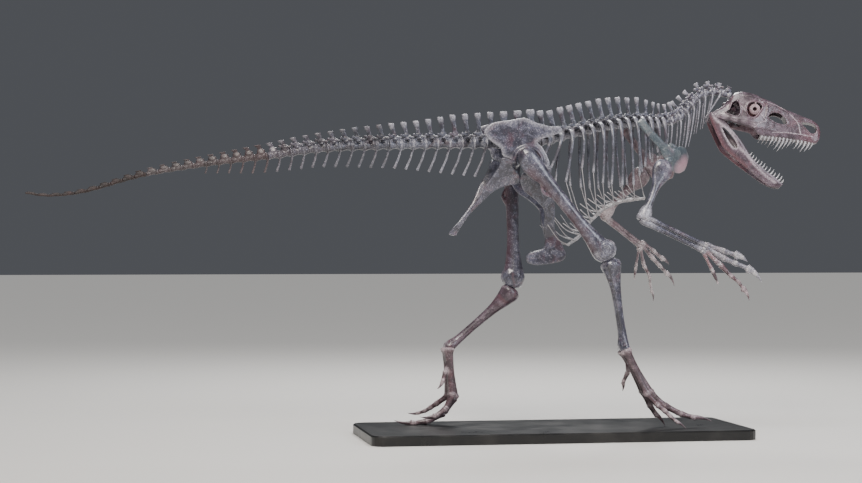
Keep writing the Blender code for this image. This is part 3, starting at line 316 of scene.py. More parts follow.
# %% Colours and nodes
def linear(code):
    """Linear colour from an sRGB hex code."""
    parts = [int(code[i:i + 2], 16) / 255 for i in (1, 3, 5)]
    return tuple(c / 12.92 if c <= 0.04045 else ((c + 0.055) / 1.055) ** 2.4 for c in parts) + (1.0,)


def add(tree, kind, inputs=None, **settings):
    """Adds one shader node, sets it up and links what feeds it."""
    node = tree.nodes.new("ShaderNode" + kind)
    for name, value in settings.items():
        setattr(node, name, value)
    for key, value in (inputs or {}).items():
        if isinstance(value, bpy.types.NodeSocket):
            tree.links.new(value, node.inputs[key])
        else:
            node.inputs[key].default_value = value
    return node


FACTOR, FIRST, SECOND, RESULT = 0, 6, 7, 2    # sockets of a colour mix node
SMOOTH = "SMOOTHSTEP"                         # eases both ends of a range
MM = 0.001


# %% [markdown]
# One recipe serves every bone. Only the colours and the strength of each layer
# change from one part of the animal to another, so that all of them look
# stained by one hand.


# %% Stained and varnished cast bone
def stained_cast(name, ground, wash, cream, rose, flecks=0.55, rosy=0.45, gloss=0.36, coat=0.45,
                 edges=0.60):
    """Cast bone: ground and wash are its two clouds, cream its flecks, rose its patches.

    flecks and rosy say how strong those two are, edges how far the stain is worn off convex
    places, gloss how rough the resin is, and coat how thick the varnish over it.
    """
    material = bpy.data.materials.new(name)
    material.use_nodes = True
    tree = material.node_tree
    shader = tree.nodes["Principled BSDF"]
    place = add(tree, "TexCoord").outputs["Object"]
    clouds = add(tree, "TexNoise", {"Vector": place, "Scale": 1 / (34 * MM), "Detail": 6.0,
                                    "Roughness": 0.68, "Distortion": 0.7}).outputs["Fac"]
    cloud_edge = add(tree, "MapRange", {"Value": clouds, "From Min": 0.42, "From Max": 0.58},
                     interpolation_type=SMOOTH).outputs["Result"]
    washed = add(tree, "Mix", {FACTOR: cloud_edge, FIRST: linear(ground), SECOND: linear(wash)},
                 data_type="RGBA").outputs[RESULT]
    far_place = add(tree, "VectorMath", {0: place, 1: (3.1, 7.7, 1.3)}, operation="ADD").outputs[0]
    patches = add(tree, "TexNoise", {"Vector": far_place, "Scale": 1 / (55 * MM), "Detail": 4.0,
                                     "Roughness": 0.65, "Distortion": 0.8}).outputs["Fac"]
    patch_edge = add(tree, "MapRange", {"Value": patches, "From Min": 0.50, "From Max": 0.68,
                                        "To Max": rosy}, interpolation_type=SMOOTH).outputs["Result"]
    flushed = add(tree, "Attribute", attribute_name="flushed").outputs["Fac"]
    rosiness = add(tree, "Math", {0: patch_edge, 1: flushed}, operation="MAXIMUM").outputs[0]
    rosed = add(tree, "Mix", {FACTOR: rosiness, FIRST: washed, SECOND: linear(rose)},
                data_type="RGBA").outputs[RESULT]
    # Flecks gather where a slower noise lets them
    fleck = add(tree, "TexNoise", {"Vector": place, "Scale": 1 / (4.2 * MM), "Detail": 4.0,
                                   "Roughness": 0.75, "Distortion": 0.4}).outputs["Fac"]
    gather = add(tree, "MapRange", {"Value": clouds, "From Min": 0.35, "From Max": 0.65,
                                    "To Min": 0.06, "To Max": -0.05}).outputs["Result"]
    gathered = add(tree, "Math", {0: fleck, 1: gather}, operation="ADD").outputs[0]
    fleck_edge = add(tree, "MapRange", {"Value": gathered, "From Min": 0.54, "From Max": 0.66,
                                        "To Max": flecks}, interpolation_type=SMOOTH).outputs["Result"]
    flecked = add(tree, "Mix", {FACTOR: fleck_edge, FIRST: rosed, SECOND: linear(cream)},
                  data_type="RGBA").outputs[RESULT]
    ridge = add(tree, "NewGeometry").outputs["Pointiness"]
    # Painted shade darkens the hollows, and the stain is worn off the edges
    hollow = add(tree, "MapRange", {"Value": ridge, "From Min": 0.38, "From Max": 0.495, "To Min": 0.58,
                                    "To Max": 0.0}, interpolation_type=SMOOTH).outputs["Result"]
    shade_painted_in_hollows = add(tree, "Mix", {FACTOR: hollow, FIRST: flecked, SECOND: linear("#1d181a")},
                   data_type="RGBA").outputs[RESULT]
    worn = add(tree, "MapRange", {"Value": ridge, "From Min": 0.515, "From Max": 0.59,
                                  "To Max": edges}, interpolation_type=SMOOTH).outputs["Result"]
    wiped = add(tree, "Attribute", attribute_name="wiped").outputs["Fac"]
    patchy = add(tree, "MapRange", {"Value": fleck, "From Min": 0.38, "From Max": 0.60,
                                    "To Min": 0.30, "To Max": 1.25}).outputs["Result"]
    wipe = add(tree, "Math", {0: wiped, 1: patchy}, operation="MULTIPLY", use_clamp=True).outputs[0]
    pale = add(tree, "Math", {0: worn, 1: wipe}, operation="MAXIMUM").outputs[0]
    rubbed = add(tree, "Mix", {FACTOR: pale, FIRST: shade_painted_in_hollows, SECOND: linear(cream)},
                 data_type="RGBA").outputs[RESULT]
    tree.links.new(rubbed, shader.inputs["Base Color"])
    rough = add(tree, "MapRange", {"Value": fleck, "From Min": 0.3, "From Max": 0.7,
                                   "To Min": gloss - 0.06, "To Max": gloss + 0.12}).outputs["Result"]
    tree.links.new(rough, shader.inputs["Roughness"])
    pores = add(tree, "TexVoronoi", {"Vector": place, "Scale": 1 / (3.2 * MM)}).outputs["Distance"]
    grain = add(tree, "TexNoise", {"Vector": place, "Scale": 1 / (2.6 * MM), "Detail": 4.0}).outputs["Fac"]
    relief = add(tree, "Math", {0: pores, 1: grain}, operation="ADD").outputs[0]
    bump = add(tree, "Bump", {"Height": relief, "Strength": 0.45, "Distance": 0.6 * MM}).outputs["Normal"]
    tree.links.new(bump, shader.inputs["Normal"])
    shader.inputs["IOR"].default_value = 1.50
    shader.inputs["Coat Weight"].default_value = coat
    shader.inputs["Coat Roughness"].default_value = 0.16
    return material


# Slate wash over a cream ground, well varnished: most of the body looks blue grey and wet
SLATE = stained_cast("slate_wash_cast", "#4f4f5f", "#32313d", "#b4b2bb", "#64404a",
                     flecks=0.45, rosy=0.40, gloss=0.33, coat=0.8, edges=0.5)
# The same wash on ribs and vertebrae, whose small parts would look worn all over
FINE_SLATE = stained_cast("slate_wash_fine", "#4a4d5b", "#2d2e38", "#b4b2bb", "#573a42",
                          flecks=0.38, rosy=0.35, edges=0.15)
# Thicker mauve wash: skull, jaw and the far shin look warmer and more even
MAUVE = stained_cast("mauve_wash_cast", "#594954", "#3d3139", "#bcafb7", "#6e424a",
                     flecks=0.28, rosy=0.40, edges=0.30)
# Rose wash: the feet and the near hand's outer fingers are the reddest parts
ROSE = stained_cast("rose_wash_cast", "#5c474e", "#3f3136", "#bcacb0", "#643c42",
                    flecks=0.45, rosy=0.45, edges=0.4)
# The same wash put on thin, so that it looks dusty pink: the far arm, hand and shoulder
BLUSH = stained_cast("thin_rose_wash_cast", "#7c6a70", "#5a4b50", "#c8bcbd", "#7c555b",
                     flecks=0.45, rosy=0.45, edges=0.4)
# Thin slate wash, so that the pale ground shows: palm, inner fingers, belly ribs
PALE = stained_cast("thin_wash_cast", "#7b7983", "#585661", "#cdc9c9", "#7c5d62", flecks=0.65, rosy=0.3)
# Blue-green wash: the near shoulder blade stands out from the ribs by it
GREEN = stained_cast("green_wash_cast", "#525c62", "#3c464e", "#b3b7b6", "#a07d88",
                     flecks=0.30, rosy=0.2, gloss=0.30, edges=0.4)
# Pink wash: the rings in the eye sockets are light, and draw the eye to them
RING = stained_cast("pink_wash_cast", "#9c8087", "#7a6067", "#b7a8ac", "#8a5c63",
                    flecks=0.35, rosy=0.4, edges=0.3)
# Dark umber wash, left matt: the end of the tail fades into the dark
UMBER = stained_cast("umber_wash_cast", "#281b1a", "#1b1312", "#5c4c49", "#391f1e",
                     flecks=0.2, rosy=0.5, gloss=0.60, coat=0.05, edges=0.1)
# Thinner umber wash: the stretch of tail before it
DUSK = stained_cast("thin_umber_wash_cast", "#3d3436", "#292224", "#857b7d", "#472f33",
                    flecks=0.25, rosy=0.45, gloss=0.50, coat=0.15, edges=0.12)
# Slate wash laid on thicker: the middle of the tail, between brown and blue grey
DEEP_SLATE = stained_cast("thick_slate_wash_cast", "#424450", "#2a2b33", "#9d9ba2", "#4e373d",
                          flecks=0.33, rosy=0.35, gloss=0.40, coat=0.35, edges=0.13)
# Tooth enamel cast in tinted resin: paler, tighter and glossier than the bone
ENAMEL = stained_cast("tooth_resin", "#9c9a9f", "#74747e", "#d6d5d8", "#8c7c80",
                      flecks=0.4, rosy=0.25, gloss=0.26)
print(len(bpy.data.materials), "materials")

# %% [markdown]
# The backbone sets every other bone's place. One smooth line runs through the
# middles of the vertebrae, and tables say how long and tall each one is.

# %% The line of the backbone
SPINE_LINE = (
    (-1.564, 0, 0.731), (-1.493, 0, 0.7235), (-1.390, 0, 0.737), (-1.228, 0, 0.784),
    (-1.042, 0, 0.818), (-0.850, 0, 0.844), (-0.690, 0, 0.868), (-0.464, 0, 0.880),
    (-0.240, 0, 0.886), (-0.060, 0, 0.891), (0.050, 0, 0.914), (0.160, 0, 0.941),
    (0.260, 0, 0.955), (0.342, 0, 0.954), (0.399, -0.001, 0.970), (0.434, -0.003, 1.005),
    (0.466, -0.007, 1.038), (0.515, -0.015, 1.050), (0.560, -0.026, 1.036))
TAIL_REGION = (-1.564, -0.165, 39, 1.05)
SACRAL_REGION = (-0.165, -0.034, 3, 1.0)
DORSAL_REGION = (-0.034, 0.352, 14, 0.62)
NECK_REGION = (0.352, 0.560, 9, 1.0)
TAIL_SPLITS = (0, 10, 20, 30, 39)
TAIL_NAMES = ("tail_tip", "tail_rear", "tail_middle", "tail_base")
NECK_SPLIT = 5


class Spine:
    """The line of the vertebrae, read by distance from the tail tip."""

    def __init__(self, points):
        self.points = eased([Vector(p) for p in points], 24)
        self.marks = [0.0]
        for a, b in zip(self.points, self.points[1:]):
            self.marks.append(self.marks[-1] + (b - a).length)

    def distance(self, x):
        """How far along the line a place is that is given by its x."""
        for a, b, mark in zip(self.points, self.points[1:], self.marks):
            if a.x <= x <= b.x:
                return mark + (b - a).length * (x - a.x) / (b.x - a.x)
        return self.marks[-1]

    def frame(self, distance):
        """A point with its forward, left and up directions."""
        last = len(self.points) - 2
        i = max(k for k in range(last + 1) if self.marks[k] <= max(distance, 0) or k == 0)
        a, b = self.points[i], self.points[i + 1]
        point = a.lerp(b, (distance - self.marks[i]) / (b - a).length)
        before, after = self.points[max(i - 2, 0)], self.points[min(i + 3, last + 1)]
        forward = (after - before).normalized()
        left = Vector((0, 0, 1)).cross(forward).normalized()
        return point, forward, left, forward.cross(left)

    def region(self, rear, front, count, growth):
        """Where the vertebrae of a region meet, from its rear end to its front end."""
        start, end = self.distance(rear), self.distance(front)
        lengths = [1 + (growth - 1) * (k + 0.5) / count for k in range(count)]
        total, marks = sum(lengths), [start]
        for length in lengths:
            marks.append(marks[-1] + (end - start) * length / total)
        return marks


spine = Spine(SPINE_LINE)
print("backbone", round(spine.marks[-1], 3), "m long")

# %% [markdown]
# A vertebra is a spool with a pinched waist, an arch on top that carries a tall
# blade, a pair of wings, and four small hooks that lock it to its neighbours.
# Each is built from its own few lumps, and neighbours are kept a hair apart so
# that the joints read as dark lines.

# %% Sizes along the backbone
CENTRUM_RADIUS = (
    (-1.564, 0.0030), (-1.40, 0.0050), (-1.19, 0.0068), (-1.05, 0.0085), (-0.90, 0.0105),
    (-0.76, 0.0130), (-0.46, 0.0160), (-0.20, 0.0180), (-0.03, 0.0170), (0.35, 0.0135),
    (0.560, 0.0115))
SPINE_HEIGHT = (
    (-1.564, 0.0050), (-1.30, 0.0115), (-1.19, 0.018), (-1.00, 0.027), (-0.90, 0.035),
    (-0.80, 0.041), (-0.69, 0.047), (-0.60, 0.055), (-0.488, 0.063), (-0.39, 0.072),
    (-0.30, 0.085), (-0.148, 0.095), (-0.058, 0.097), (0.01, 0.086), (0.18, 0.083),
    (0.27, 0.075), (0.318, 0.064), (0.36, 0.054), (0.40, 0.055), (0.46, 0.0415),
    (0.52, 0.028), (0.560, 0.024))
SPINE_LEAN = (
    (-1.564, 0.8), (-0.90, 0.55), (-0.50, 0.28), (-0.20, 0.08), (-0.05, 0.0),
    (0.15, 0.08), (0.34, 0.02), (0.42, 0.0), (0.560, 0.15))
SPINE_LENGTH = (
    (-1.564, 0.45), (-0.50, 0.39), (-0.20, 0.42), (0.0, 0.53), (0.25, 0.52), (0.30, 0.42),
    (0.36, 0.33), (0.42, 0.40), (0.50, 0.46), (0.560, 0.46))
PROCESS_REACH = (
    (-1.564, 0.0), (-0.80, 0.008), (-0.60, 0.024), (-0.20, 0.046), (-0.03, 0.040),
    (0.20, 0.044), (0.34, 0.034), (0.375, 0.022), (0.560, 0.015))
CHEVRON_LENGTH = (
    (-1.05, 0.018), (-0.90, 0.036), (-0.70, 0.043), (-0.45, 0.058), (-0.18, 0.090))
CHEVRON_LEAN, CHEVRON_SIZE = 0.30, 0.0042
ARCH_WIDTH = 0.0085
FULL_SPOOL = 0.012                       # smaller vertebrae have a narrower arch and blade
SPOOL = ((0.020, 0.62), (0.035, 0.98), (0.10, 1.07), (0.24, 0.88), (0.5, 0.73), (0.76, 0.88),
         (0.90, 1.07), (0.965, 0.98), (0.980, 0.62))
HOOKED = 0.0118                          # spools thinner than this have no hooks


# %% [markdown]
# The spool runs round the backbone's line. Its arch and blade are one loft, its
# wings and hooks are short tubes, and in the tail a forked bone hangs under
# most of the joints.


# %% One vertebra
def centrum(bm, rear, front):
    """The spool between two joints of the backbone."""
    rings = []
    for share, size in SPOOL:
        point, _, left, up = spine.frame(rear + share * (front - rear))
        radius = graded(CENTRUM_RADIUS, point.x) * size
        rings.append(rounded_ring(point, left, up, radius, radius, 18, 1.0))
    skin(bm, rings)


def blade(bm, rear, front, vary):
    """The arch and the tall blade on top, thickened at its tip."""
    length = front - rear
    point, forward, left, up = spine.frame((rear + front) / 2)
    radius = graded(CENTRUM_RADIUS, point.x)
    height = graded(SPINE_HEIGHT, point.x) * (1 + 0.03 * vary)
    lean = graded(SPINE_LEAN, point.x)
    long = graded(SPINE_LENGTH, point.x) * length / 2
    arch = min(radius + 0.009, 0.55 * height + 0.3 * radius)
    size = min(1.0, radius / FULL_SPOOL)
    rings = []
    stations = ((0.2 * radius, 1.0, 0.36 * length), (0.65 * arch, 0.85, 0.34 * length),
                (arch, 0.5, 0.33 * length), (arch + 0.22 * (height - arch), 0.34, 0.84 * long),
                (arch + 0.60 * (height - arch), 0.34, 0.98 * long),
                (arch + 0.88 * (height - arch), 0.52, 1.30 * long), (height, 0.44, 1.22 * long))
    for h, wide, deep in stations:
        centre = point + h * up - lean * max(h - arch, 0) * forward
        rings.append(rounded_ring(centre, left, forward, wide * ARCH_WIDTH * size, deep, 16, 0.7))
    skin(bm, rings)
    if radius > HOOKED:
        reach = 0.50 * length
        for side in (-1, 1):
            root = point + 0.86 * arch * up + side * 0.60 * ARCH_WIDTH * size * left
            for way, rise in ((1, -0.02), (-1, 0.20)):
                tip = root + way * reach * forward + rise * length * up + side * 0.0015 * left
                tube(bm, (root, root.lerp(tip, 0.5), tip),
                     ((0.0032 * size, 0.0045 * size),) * 2 + ((0.0028 * size, 0.0036 * size),), 8, steps=2)


def wings(bm, rear, front, reach=None, drop=0.0, thickness=0.0032):
    """The pair of processes that stand out sideways."""
    length = front - rear
    point, forward, left, up = spine.frame((rear + front) / 2)
    reach = reach or graded(PROCESS_REACH, point.x)
    if reach < 0.010:
        return
    radius = graded(CENTRUM_RADIUS, point.x)
    root = point + (min(radius, 0.015) * 0.9 - drop) * up
    for side in (-1, 1):
        points = [root + side * s * reach * left + 0.10 * s * reach * up - 0.12 * s * reach * forward
                  for s in (0.0, 0.35, 0.75, 1.0)]
        sizes = ((0.25 * length, 1.3 * thickness), (0.19 * length, thickness),
                 (0.14 * length, 0.85 * thickness), (0.15 * length, 0.85 * thickness))
        tube(bm, points, sizes, 12, across=forward, steps=2)


def chevron(bm, mark):
    """The small bone that hangs under a tail joint, forked at its top."""
    point, forward, left, up = spine.frame(mark)
    if not CHEVRON_LENGTH[0][0] <= point.x <= CHEVRON_LENGTH[-1][0]:
        return
    length = graded(CHEVRON_LENGTH, point.x)
    radius = graded(CENTRUM_RADIUS, point.x)
    down = -(up + CHEVRON_LEAN * forward).normalized()
    top = point - 0.55 * radius * up
    middle = top + down * (0.45 * length + 0.45 * radius)
    tip = top + down * (length + 0.45 * radius) - 0.10 * length * forward
    size = CHEVRON_SIZE * min(1.0, radius / 0.013)
    for side in (-1, 1):
        prong = (top + side * 0.30 * radius * left,
                 top.lerp(middle, 0.5) + side * 0.16 * radius * left, middle)
        tube(bm, prong, ((0.6 * size, 0.8 * size), (0.5 * size, 0.8 * size), (0.5 * size, 0.9 * size)), 8,
             steps=2)
    tube(bm, (middle, middle.lerp(tip, 0.5), tip),
         ((0.55 * size, 0.9 * size), (0.48 * size, 0.95 * size), (0.45 * size, 1.2 * size)), 8, steps=2)


RIM_WIPE, RIM_BAND = 0.85, 0.0036        # how far a spool's rim is wiped, and over what width


def wiped_vertebrae(marks, most=1.0, between=0.40):
    """The stain is wiped off the spools' rims and the blades' tips, and each whole spool is painted a
    little paler, partly as wiped stain and partly as painted light that lifts the shade the spools lie in.
    """
    joints = [spine.frame(mark) for mark in marks]
    rims = KDTree(len(joints))
    for i, joint in enumerate(joints):
        rims.insert(joint[0], i)
    rims.balance()
    tips = []
    for rear, front in zip(marks, marks[1:]):
        point, forward, left, up = spine.frame((rear + front) / 2)
        height, lean = graded(SPINE_HEIGHT, point.x), graded(SPINE_LEAN, point.x)
        tips.append(point + height * up - lean * 0.6 * height * forward)
    on_tips = near(tips, min(0.022, 0.35 * graded(SPINE_HEIGHT, tips[0].x)))

    def share(p):
        _, i, distance = rims.find(p)
        point, forward, _, _ = joints[i]
        if distance < 1.5 * graded(CENTRUM_RADIUS, point.x):
            # Each whole spool is painted at least this much paler: partly wiped stain, partly painted
            # light that lifts the shade round it
            return most * max(between, RIM_WIPE * (1 - abs((p - point).dot(forward)) / RIM_BAND))
        if (p - point).z < 0:
            return most * 0.5
        return most * on_tips(p)
    return share


def run_of_vertebrae(bm, marks, chevrons=False):
    """All the vertebrae between the marks, with or without the bones that hang below."""
    for k, (rear, front) in enumerate(zip(marks, marks[1:])):
        centrum(bm, rear, front)
        blade(bm, rear, front, noise.noise((7.3 * k, marks[0] * 5, 0)))
        wings(bm, rear, front)
    if chevrons:
        for mark in marks[1:]:
            chevron(bm, mark)


# %% [markdown]
# The tail is four pieces, because the stain changes along it: slate near the
# hips, darker in the middle, and a matt brown towards the tip.

# %% The tail
tail_marks = spine.region(*TAIL_REGION)
# Finish, slot, grain of the skin and how far the stain is wiped
TAIL_LOOK = {
    "tail_tip": (UMBER, "dark_bone", 0.0009, 0.3),
    "tail_rear": (DUSK, "slate_bone", 0.0010, 0.45),
    "tail_middle": (DEEP_SLATE, "slate_bone", 0.0012, 0.55),
    "tail_base": (FINE_SLATE, "slate_bone", 0.0015, 0.85)}
# The slate wash turns rosy towards the brown end of the tail
change_of_wash = near([spine.frame(tail_marks[TAIL_SPLITS[2]])[0]], 0.24, 0.35)
for name, first, last in zip(TAIL_NAMES, TAIL_SPLITS, TAIL_SPLITS[1:]):
    clay = bmesh.new()
    run_of_vertebrae(clay, tail_marks[first:last + 1], chevrons=True)
    finish, slot, voxel, rubbed = TAIL_LOOK[name]
    piece(name + "_bones", clay, finish, (name,), voxel, smooth=2, uneven=0.0005,
          wiped=wiped_vertebrae(tail_marks[first:last + 1], rubbed, 0.08), flushed=change_of_wash)

# %% [markdown]
# The trunk has a vertebra to each pair of ribs. A rib starts with two heads on
# its vertebra, turns out at its shoulder and then hangs in one long curve. The
# ribs are thinner than a voxel skin can follow, so they stay as smooth tubes.

# %% Ribs
RIB_SPREAD = (0.050, 0.060, 0.069, 0.077, 0.083, 0.088, 0.092, 0.094, 0.094, 0.092,
              0.088, 0.081, 0.071, 0.060)
RIB_END = {
    RIGHT: (0.865, 0.850, 0.832, 0.818, 0.790, 0.762, 0.760, 0.763, 0.766, 0.798,
            0.812, 0.770, 0.812, 0.840),
    LEFT: (0.865, 0.845, 0.805, 0.775, 0.765, 0.760, 0.756, 0.755, 0.755, 0.757,
           0.762, 0.775, 0.802, 0.832)}
RIB_SWEEP = (0.004, 0.004, 0.003, 0.003, 0.009, 0.015, 0.006, 0.000, 0.001, 0.001,
             -0.004, -0.021, -0.033, -0.024)
RIB_LINE = ((0.10, -0.05), (0.46, -0.11), (0.84, 0.02), (1.00, 0.30), (0.98, 0.62), (0.82, 1.0))
RIB_DEPTH = (0.0052, 0.0066, 0.0066, 0.0044, 0.0037, 0.0037)
RIB_THICKNESS = (0.0048, 0.0044, 0.0038, 0.0032, 0.0030, 0.0030)
trunk_marks = spine.region(*DORSAL_REGION)


def rib_points(k, side):
    """The line of rib k, counted from the front."""
    rear, front = trunk_marks[-k - 2], trunk_marks[-k - 1]
    point, _, _, _ = spine.frame(rear + 0.6 * (front - rear))
    drop = point.z - RIB_END[side][k]
    points = []
    for i, (out, down) in enumerate(RIB_LINE):
        height = point.z - down * (drop if i > 1 else 0.10)
        points.append(Vector((point.x + RIB_SWEEP[k] * max(down, 0), side * out * RIB_SPREAD[k], height)))
    return points


def rib(bm, k, side):
    """Rib k of one side, with both its heads."""
    points = rib_points(k, side)
    tube(bm, points, list(zip(RIB_DEPTH, RIB_THICKNESS)), 10, across=(1, 0, 0), steps=8, square=0.85)
    point, _, _, up = spine.frame(trunk_marks[-k - 2] + 0.8 * (trunk_marks[-k - 1] - trunk_marks[-k - 2]))
    # The lower of its two heads
    head = point + Vector((0, side * 0.010, 0.002))
    tube(bm, (head, head.lerp(points[2], 0.55) - 0.004 * up, points[2]),
         ((0.0042, 0.0034), (0.0034, 0.0028), (0.0040, 0.0030)), 10, across=(1, 0, 0), steps=4)


for name, side in SIDES:
    clay = bmesh.new()
    for k in range(DORSAL_REGION[2]):
        rib(clay, k, side)
    lines = [rib_points(k, side) for k in range(DORSAL_REGION[2])]
    shoulders = [line[1].lerp(line[2], 0.6) for line in lines]
    tips = [line[-1] for line in lines]
    piece("ribs_" + name, clay, FINE_SLATE, ("trunk_" + name,),
          wiped=either(near(shoulders, 0.030, 0.6), near(tips, 0.034)))

clay = bmesh.new()
run_of_vertebrae(clay, trunk_marks)
# The trunk's spools keep the full paler share: painted light that lifts the shade under the rib heads and
# wings, as well as wiped stain
piece("back_vertebrae", clay, FINE_SLATE, (), 0.0015, smooth=2, uneven=0.0006,
      wiped=wiped_vertebrae(trunk_marks))

# %% [markdown]
# The vertebrae between the hips have short thick wings, which reach the hip
# blades and hold them.

# %% The vertebrae between the hips
HIP = (-0.092, 0.079, 0.827)
BLADE_THICKNESS = 0.010
clay = bmesh.new()
sacral_marks = spine.region(*SACRAL_REGION)
for k, (rear, front) in enumerate(zip(sacral_marks, sacral_marks[1:])):
    centrum(clay, rear, front)
    blade(clay, rear, front, 0.3 * k)
    wings(clay, rear, front, HIP[1] - BLADE_THICKNESS / 2 + 0.003, drop=0.010, thickness=0.011)
piece("sacral_bones", clay, FINE_SLATE, ("sacrum",), 0.0018,
      wiped=wiped_vertebrae(sacral_marks))

# %% [markdown]
# The neck bends up and over in an S. Its vertebrae carry long thin ribs that
# hang free of each other.

# %% The neck
NECK_RIBS = ((0.080, 0.05), (0.085, 0.05), (0.100, 0.08), (0.118, 0.12), (0.098, 0.08),
             (0.095, 0.06), (0.085, 0.20), (0.078, 0.62))
neck_marks = spine.region(*NECK_REGION)


def neck_rib(bm, rear, front, length, trail, side):
    """A thin rib that hangs free: trail says how far it slants back."""
    point, forward, left, up = spine.frame(rear + 0.7 * (front - rear))
    radius = graded(CENTRUM_RADIUS, point.x)
    hang = Vector((-trail, 0, -1)).normalized()
    root = point + side * 0.5 * radius * left - 0.4 * radius * up
    knee = point + side * 0.020 * left - 1.1 * radius * up
    points = (root, knee, knee + 0.5 * length * hang,
              knee + length * hang - 0.04 * length * Vector((1, 0, 0)))
    sizes = ((0.0030, 0.0034), (0.0026, 0.0032), (0.0019, 0.0021), (0.0009, 0.0011))
    tube(bm, points, sizes, 8, steps=5)


for name, first, last in (("neck_rear", 0, NECK_SPLIT), ("neck_front", NECK_SPLIT, NECK_REGION[2])):
    clay = bmesh.new()
    marks = neck_marks[first:last + 1]
    run_of_vertebrae(clay, marks)
    for k, (rear, front) in enumerate(zip(marks, marks[1:])):
        if first + k < len(NECK_RIBS):
            for _, side in SIDES:
                neck_rib(clay, rear, front, *NECK_RIBS[first + k], side)
    # The joint with the skull keeps its stain
    wiped_marks = marks if first == 0 else marks[:-1]
    piece(name + "_bones", clay, SLATE, (name,), 0.0010, smooth=2, uneven=0.0004, keep=0.42,
          wiped=wiped_vertebrae(wiped_marks, 1.1, 0.12))

# %% [markdown]
# Belly ribs are a basket of hair-thin rods that hung in the skin of the belly.
# On the mount they are joined along a keel. Some are tied to the rib ends, and
# between and behind those are shorter ones with free ends.

# %% Belly ribs
KEEL_LINE = ((0.292, 0.722), (0.222, 0.712), (0.165, 0.688), (0.122, 0.650), (0.092, 0.610),
             (0.052, 0.580))
BELLY_ROWS, FIRST_BELLY_RIB, TIED_ROWS = 11, 4, 8
FREE_ROW_REACH = Vector((-0.075, 0.052, 0.060))
HALF_ROW_REACH = Vector((-0.052, 0.044, 0.026))
ROW_ROD, HALF_ROW_ROD = 0.0014, 0.0016
ROD_SHAPE = (0.8, 1.0, 1.5, 1.0, 0.8)
clay = bmesh.new()
keel = eased([Vector((x, 0, z)) for x, z in KEEL_LINE], 3)
tube(clay, keel, [(0.0055, 0.0048 - 0.0008 * math.sin(2.3 * i)) for i in range(len(keel))], 10, steps=3)


def belly_rod(k):
    """The line of a rod over the keel; a half number is a free rod between two tied ones."""
    place = k / (BELLY_ROWS - 1) * (len(keel) - 1)
    i = min(int(place), len(keel) - 2)
    centre = keel[i].lerp(keel[i + 1], place - i)
    whole = int(k)
    if k == whole and k < TIED_ROWS:
        ends = [rib_points(FIRST_BELLY_RIB + whole, side)[-1] for side in (LEFT, RIGHT)]
    else:
        reach = HALF_ROW_REACH if k > whole else FREE_ROW_REACH
        ends = [centre + on_side(reach, side) for side in (LEFT, RIGHT)]
    ways = [end - centre for end in ends]
    bends = [centre + Vector((0.50 * way.x, 0.66 * way.y, 0.26 * way.z)) for way in ways]
    return ends[0], bends[0], centre, bends[1], ends[1]


for k in [i / 2 for i in range(2 * TIED_ROWS)] + list(range(TIED_ROWS, BELLY_ROWS)):
    size = ROW_ROD if k == int(k) else HALF_ROW_ROD
    tube(clay, belly_rod(k), [(size * f, size * f) for f in ROD_SHAPE], 8, across=(1, 0, 0), steps=6)
piece("belly_ribs", clay, PALE, ("gastralia",),
      wiped=near(spots_along([Vector(p) for p in keel], 0.006), 0.014, 0.9))

# %% [markdown]
# The skull is a thin box of struts round big windows. It is lofted whole from
# its side outline, hollowed, and its windows are cut with a Boolean, since a
# window needs a crisp rim. Then ridges are laid on and all is skinned.

# %% Skull frame and outline
JAW_JOINT = (0.507, -0.016, 0.966)
SKULL_YAW, SKULL_PITCH, SKULL_ROLL, JAW_DROP = -14.0, 8.0, -7.0, 38.0
SKULL_STATIONS = (
    (-0.014, -0.004, 0.010, 0.054), (0.002, -0.007, 0.022, 0.056), (0.020, -0.008, 0.037, 0.057),
    (0.036, -0.009, 0.060, 0.057), (0.050, -0.010, 0.081, 0.057), (0.070, -0.015, 0.090, 0.057),
    (0.094, -0.017, 0.090, 0.056), (0.118, -0.021, 0.087, 0.053), (0.134, -0.035, 0.082, 0.049),
    (0.150, -0.039, 0.078, 0.044), (0.175, -0.038, 0.071, 0.038), (0.205, -0.036, 0.059, 0.032),
    (0.238, -0.035, 0.050, 0.027), (0.270, -0.034, 0.042, 0.023), (0.300, -0.036, 0.034, 0.019),
    (0.318, -0.033, 0.022, 0.014), (0.327, -0.018, 0.004, 0.007))
SKULL_SECTION = ((0.0, 1.0), (0.34, 1.0), (0.62, 0.985), (0.80, 0.91), (0.90, 0.75), (0.96, 0.50),
                 (1.0, 0.16), (0.97, 0.04), (0.88, 0.0), (0.45, 0.0), (0.0, 0.0))
WINDOWS = {
    "eye_socket": ((0.092, 0.034), (0.096, 0.052), (0.114, 0.061), (0.132, 0.059), (0.140, 0.047),
                   (0.132, 0.032), (0.123, 0.016), (0.112, 0.011), (0.099, 0.017)),
    "cheek": ((0.030, 0.016), (0.042, 0.026), (0.046, 0.046), (0.058, 0.056), (0.069, 0.046),
              (0.074, 0.020), (0.066, 0.008), (0.048, 0.010)),
    "snout_side": ((0.160, 0.022), (0.176, 0.039), (0.199, 0.037), (0.216, 0.022), (0.220, 0.010),
                   (0.205, 0.006), (0.181, 0.010)),
    "nostril": ((0.263, 0.021), (0.287, 0.024), (0.306, 0.020), (0.314, 0.008), (0.309, -0.005),
                 (0.296, -0.007), (0.282, 0.005))}
SEAMS = (
    ((0.1235, 0.079), (0.1269, 0.0725), (0.1325, 0.0634), (0.1454, 0.0676), (0.165, 0.066),
     (0.190, 0.060), (0.213, 0.0508), (0.2379, 0.0331), (0.2555, 0.0147), (0.2635, -0.0077),
     (0.2669, -0.0153)),
    ((0.1381, 0.0264), (0.1465, 0.017), (0.156, 0.0091), (0.1413, 0.0003), (0.1303, -0.0091),
     (0.1225, -0.0184)),
    ((0.0742, 0.0422), (0.0848, 0.0329), (0.0915, 0.0254)),
    ((0.1801, -0.0235), (0.2082, -0.019), (0.2389, -0.0168), (0.2645, -0.016), (0.3019, -0.0174)))


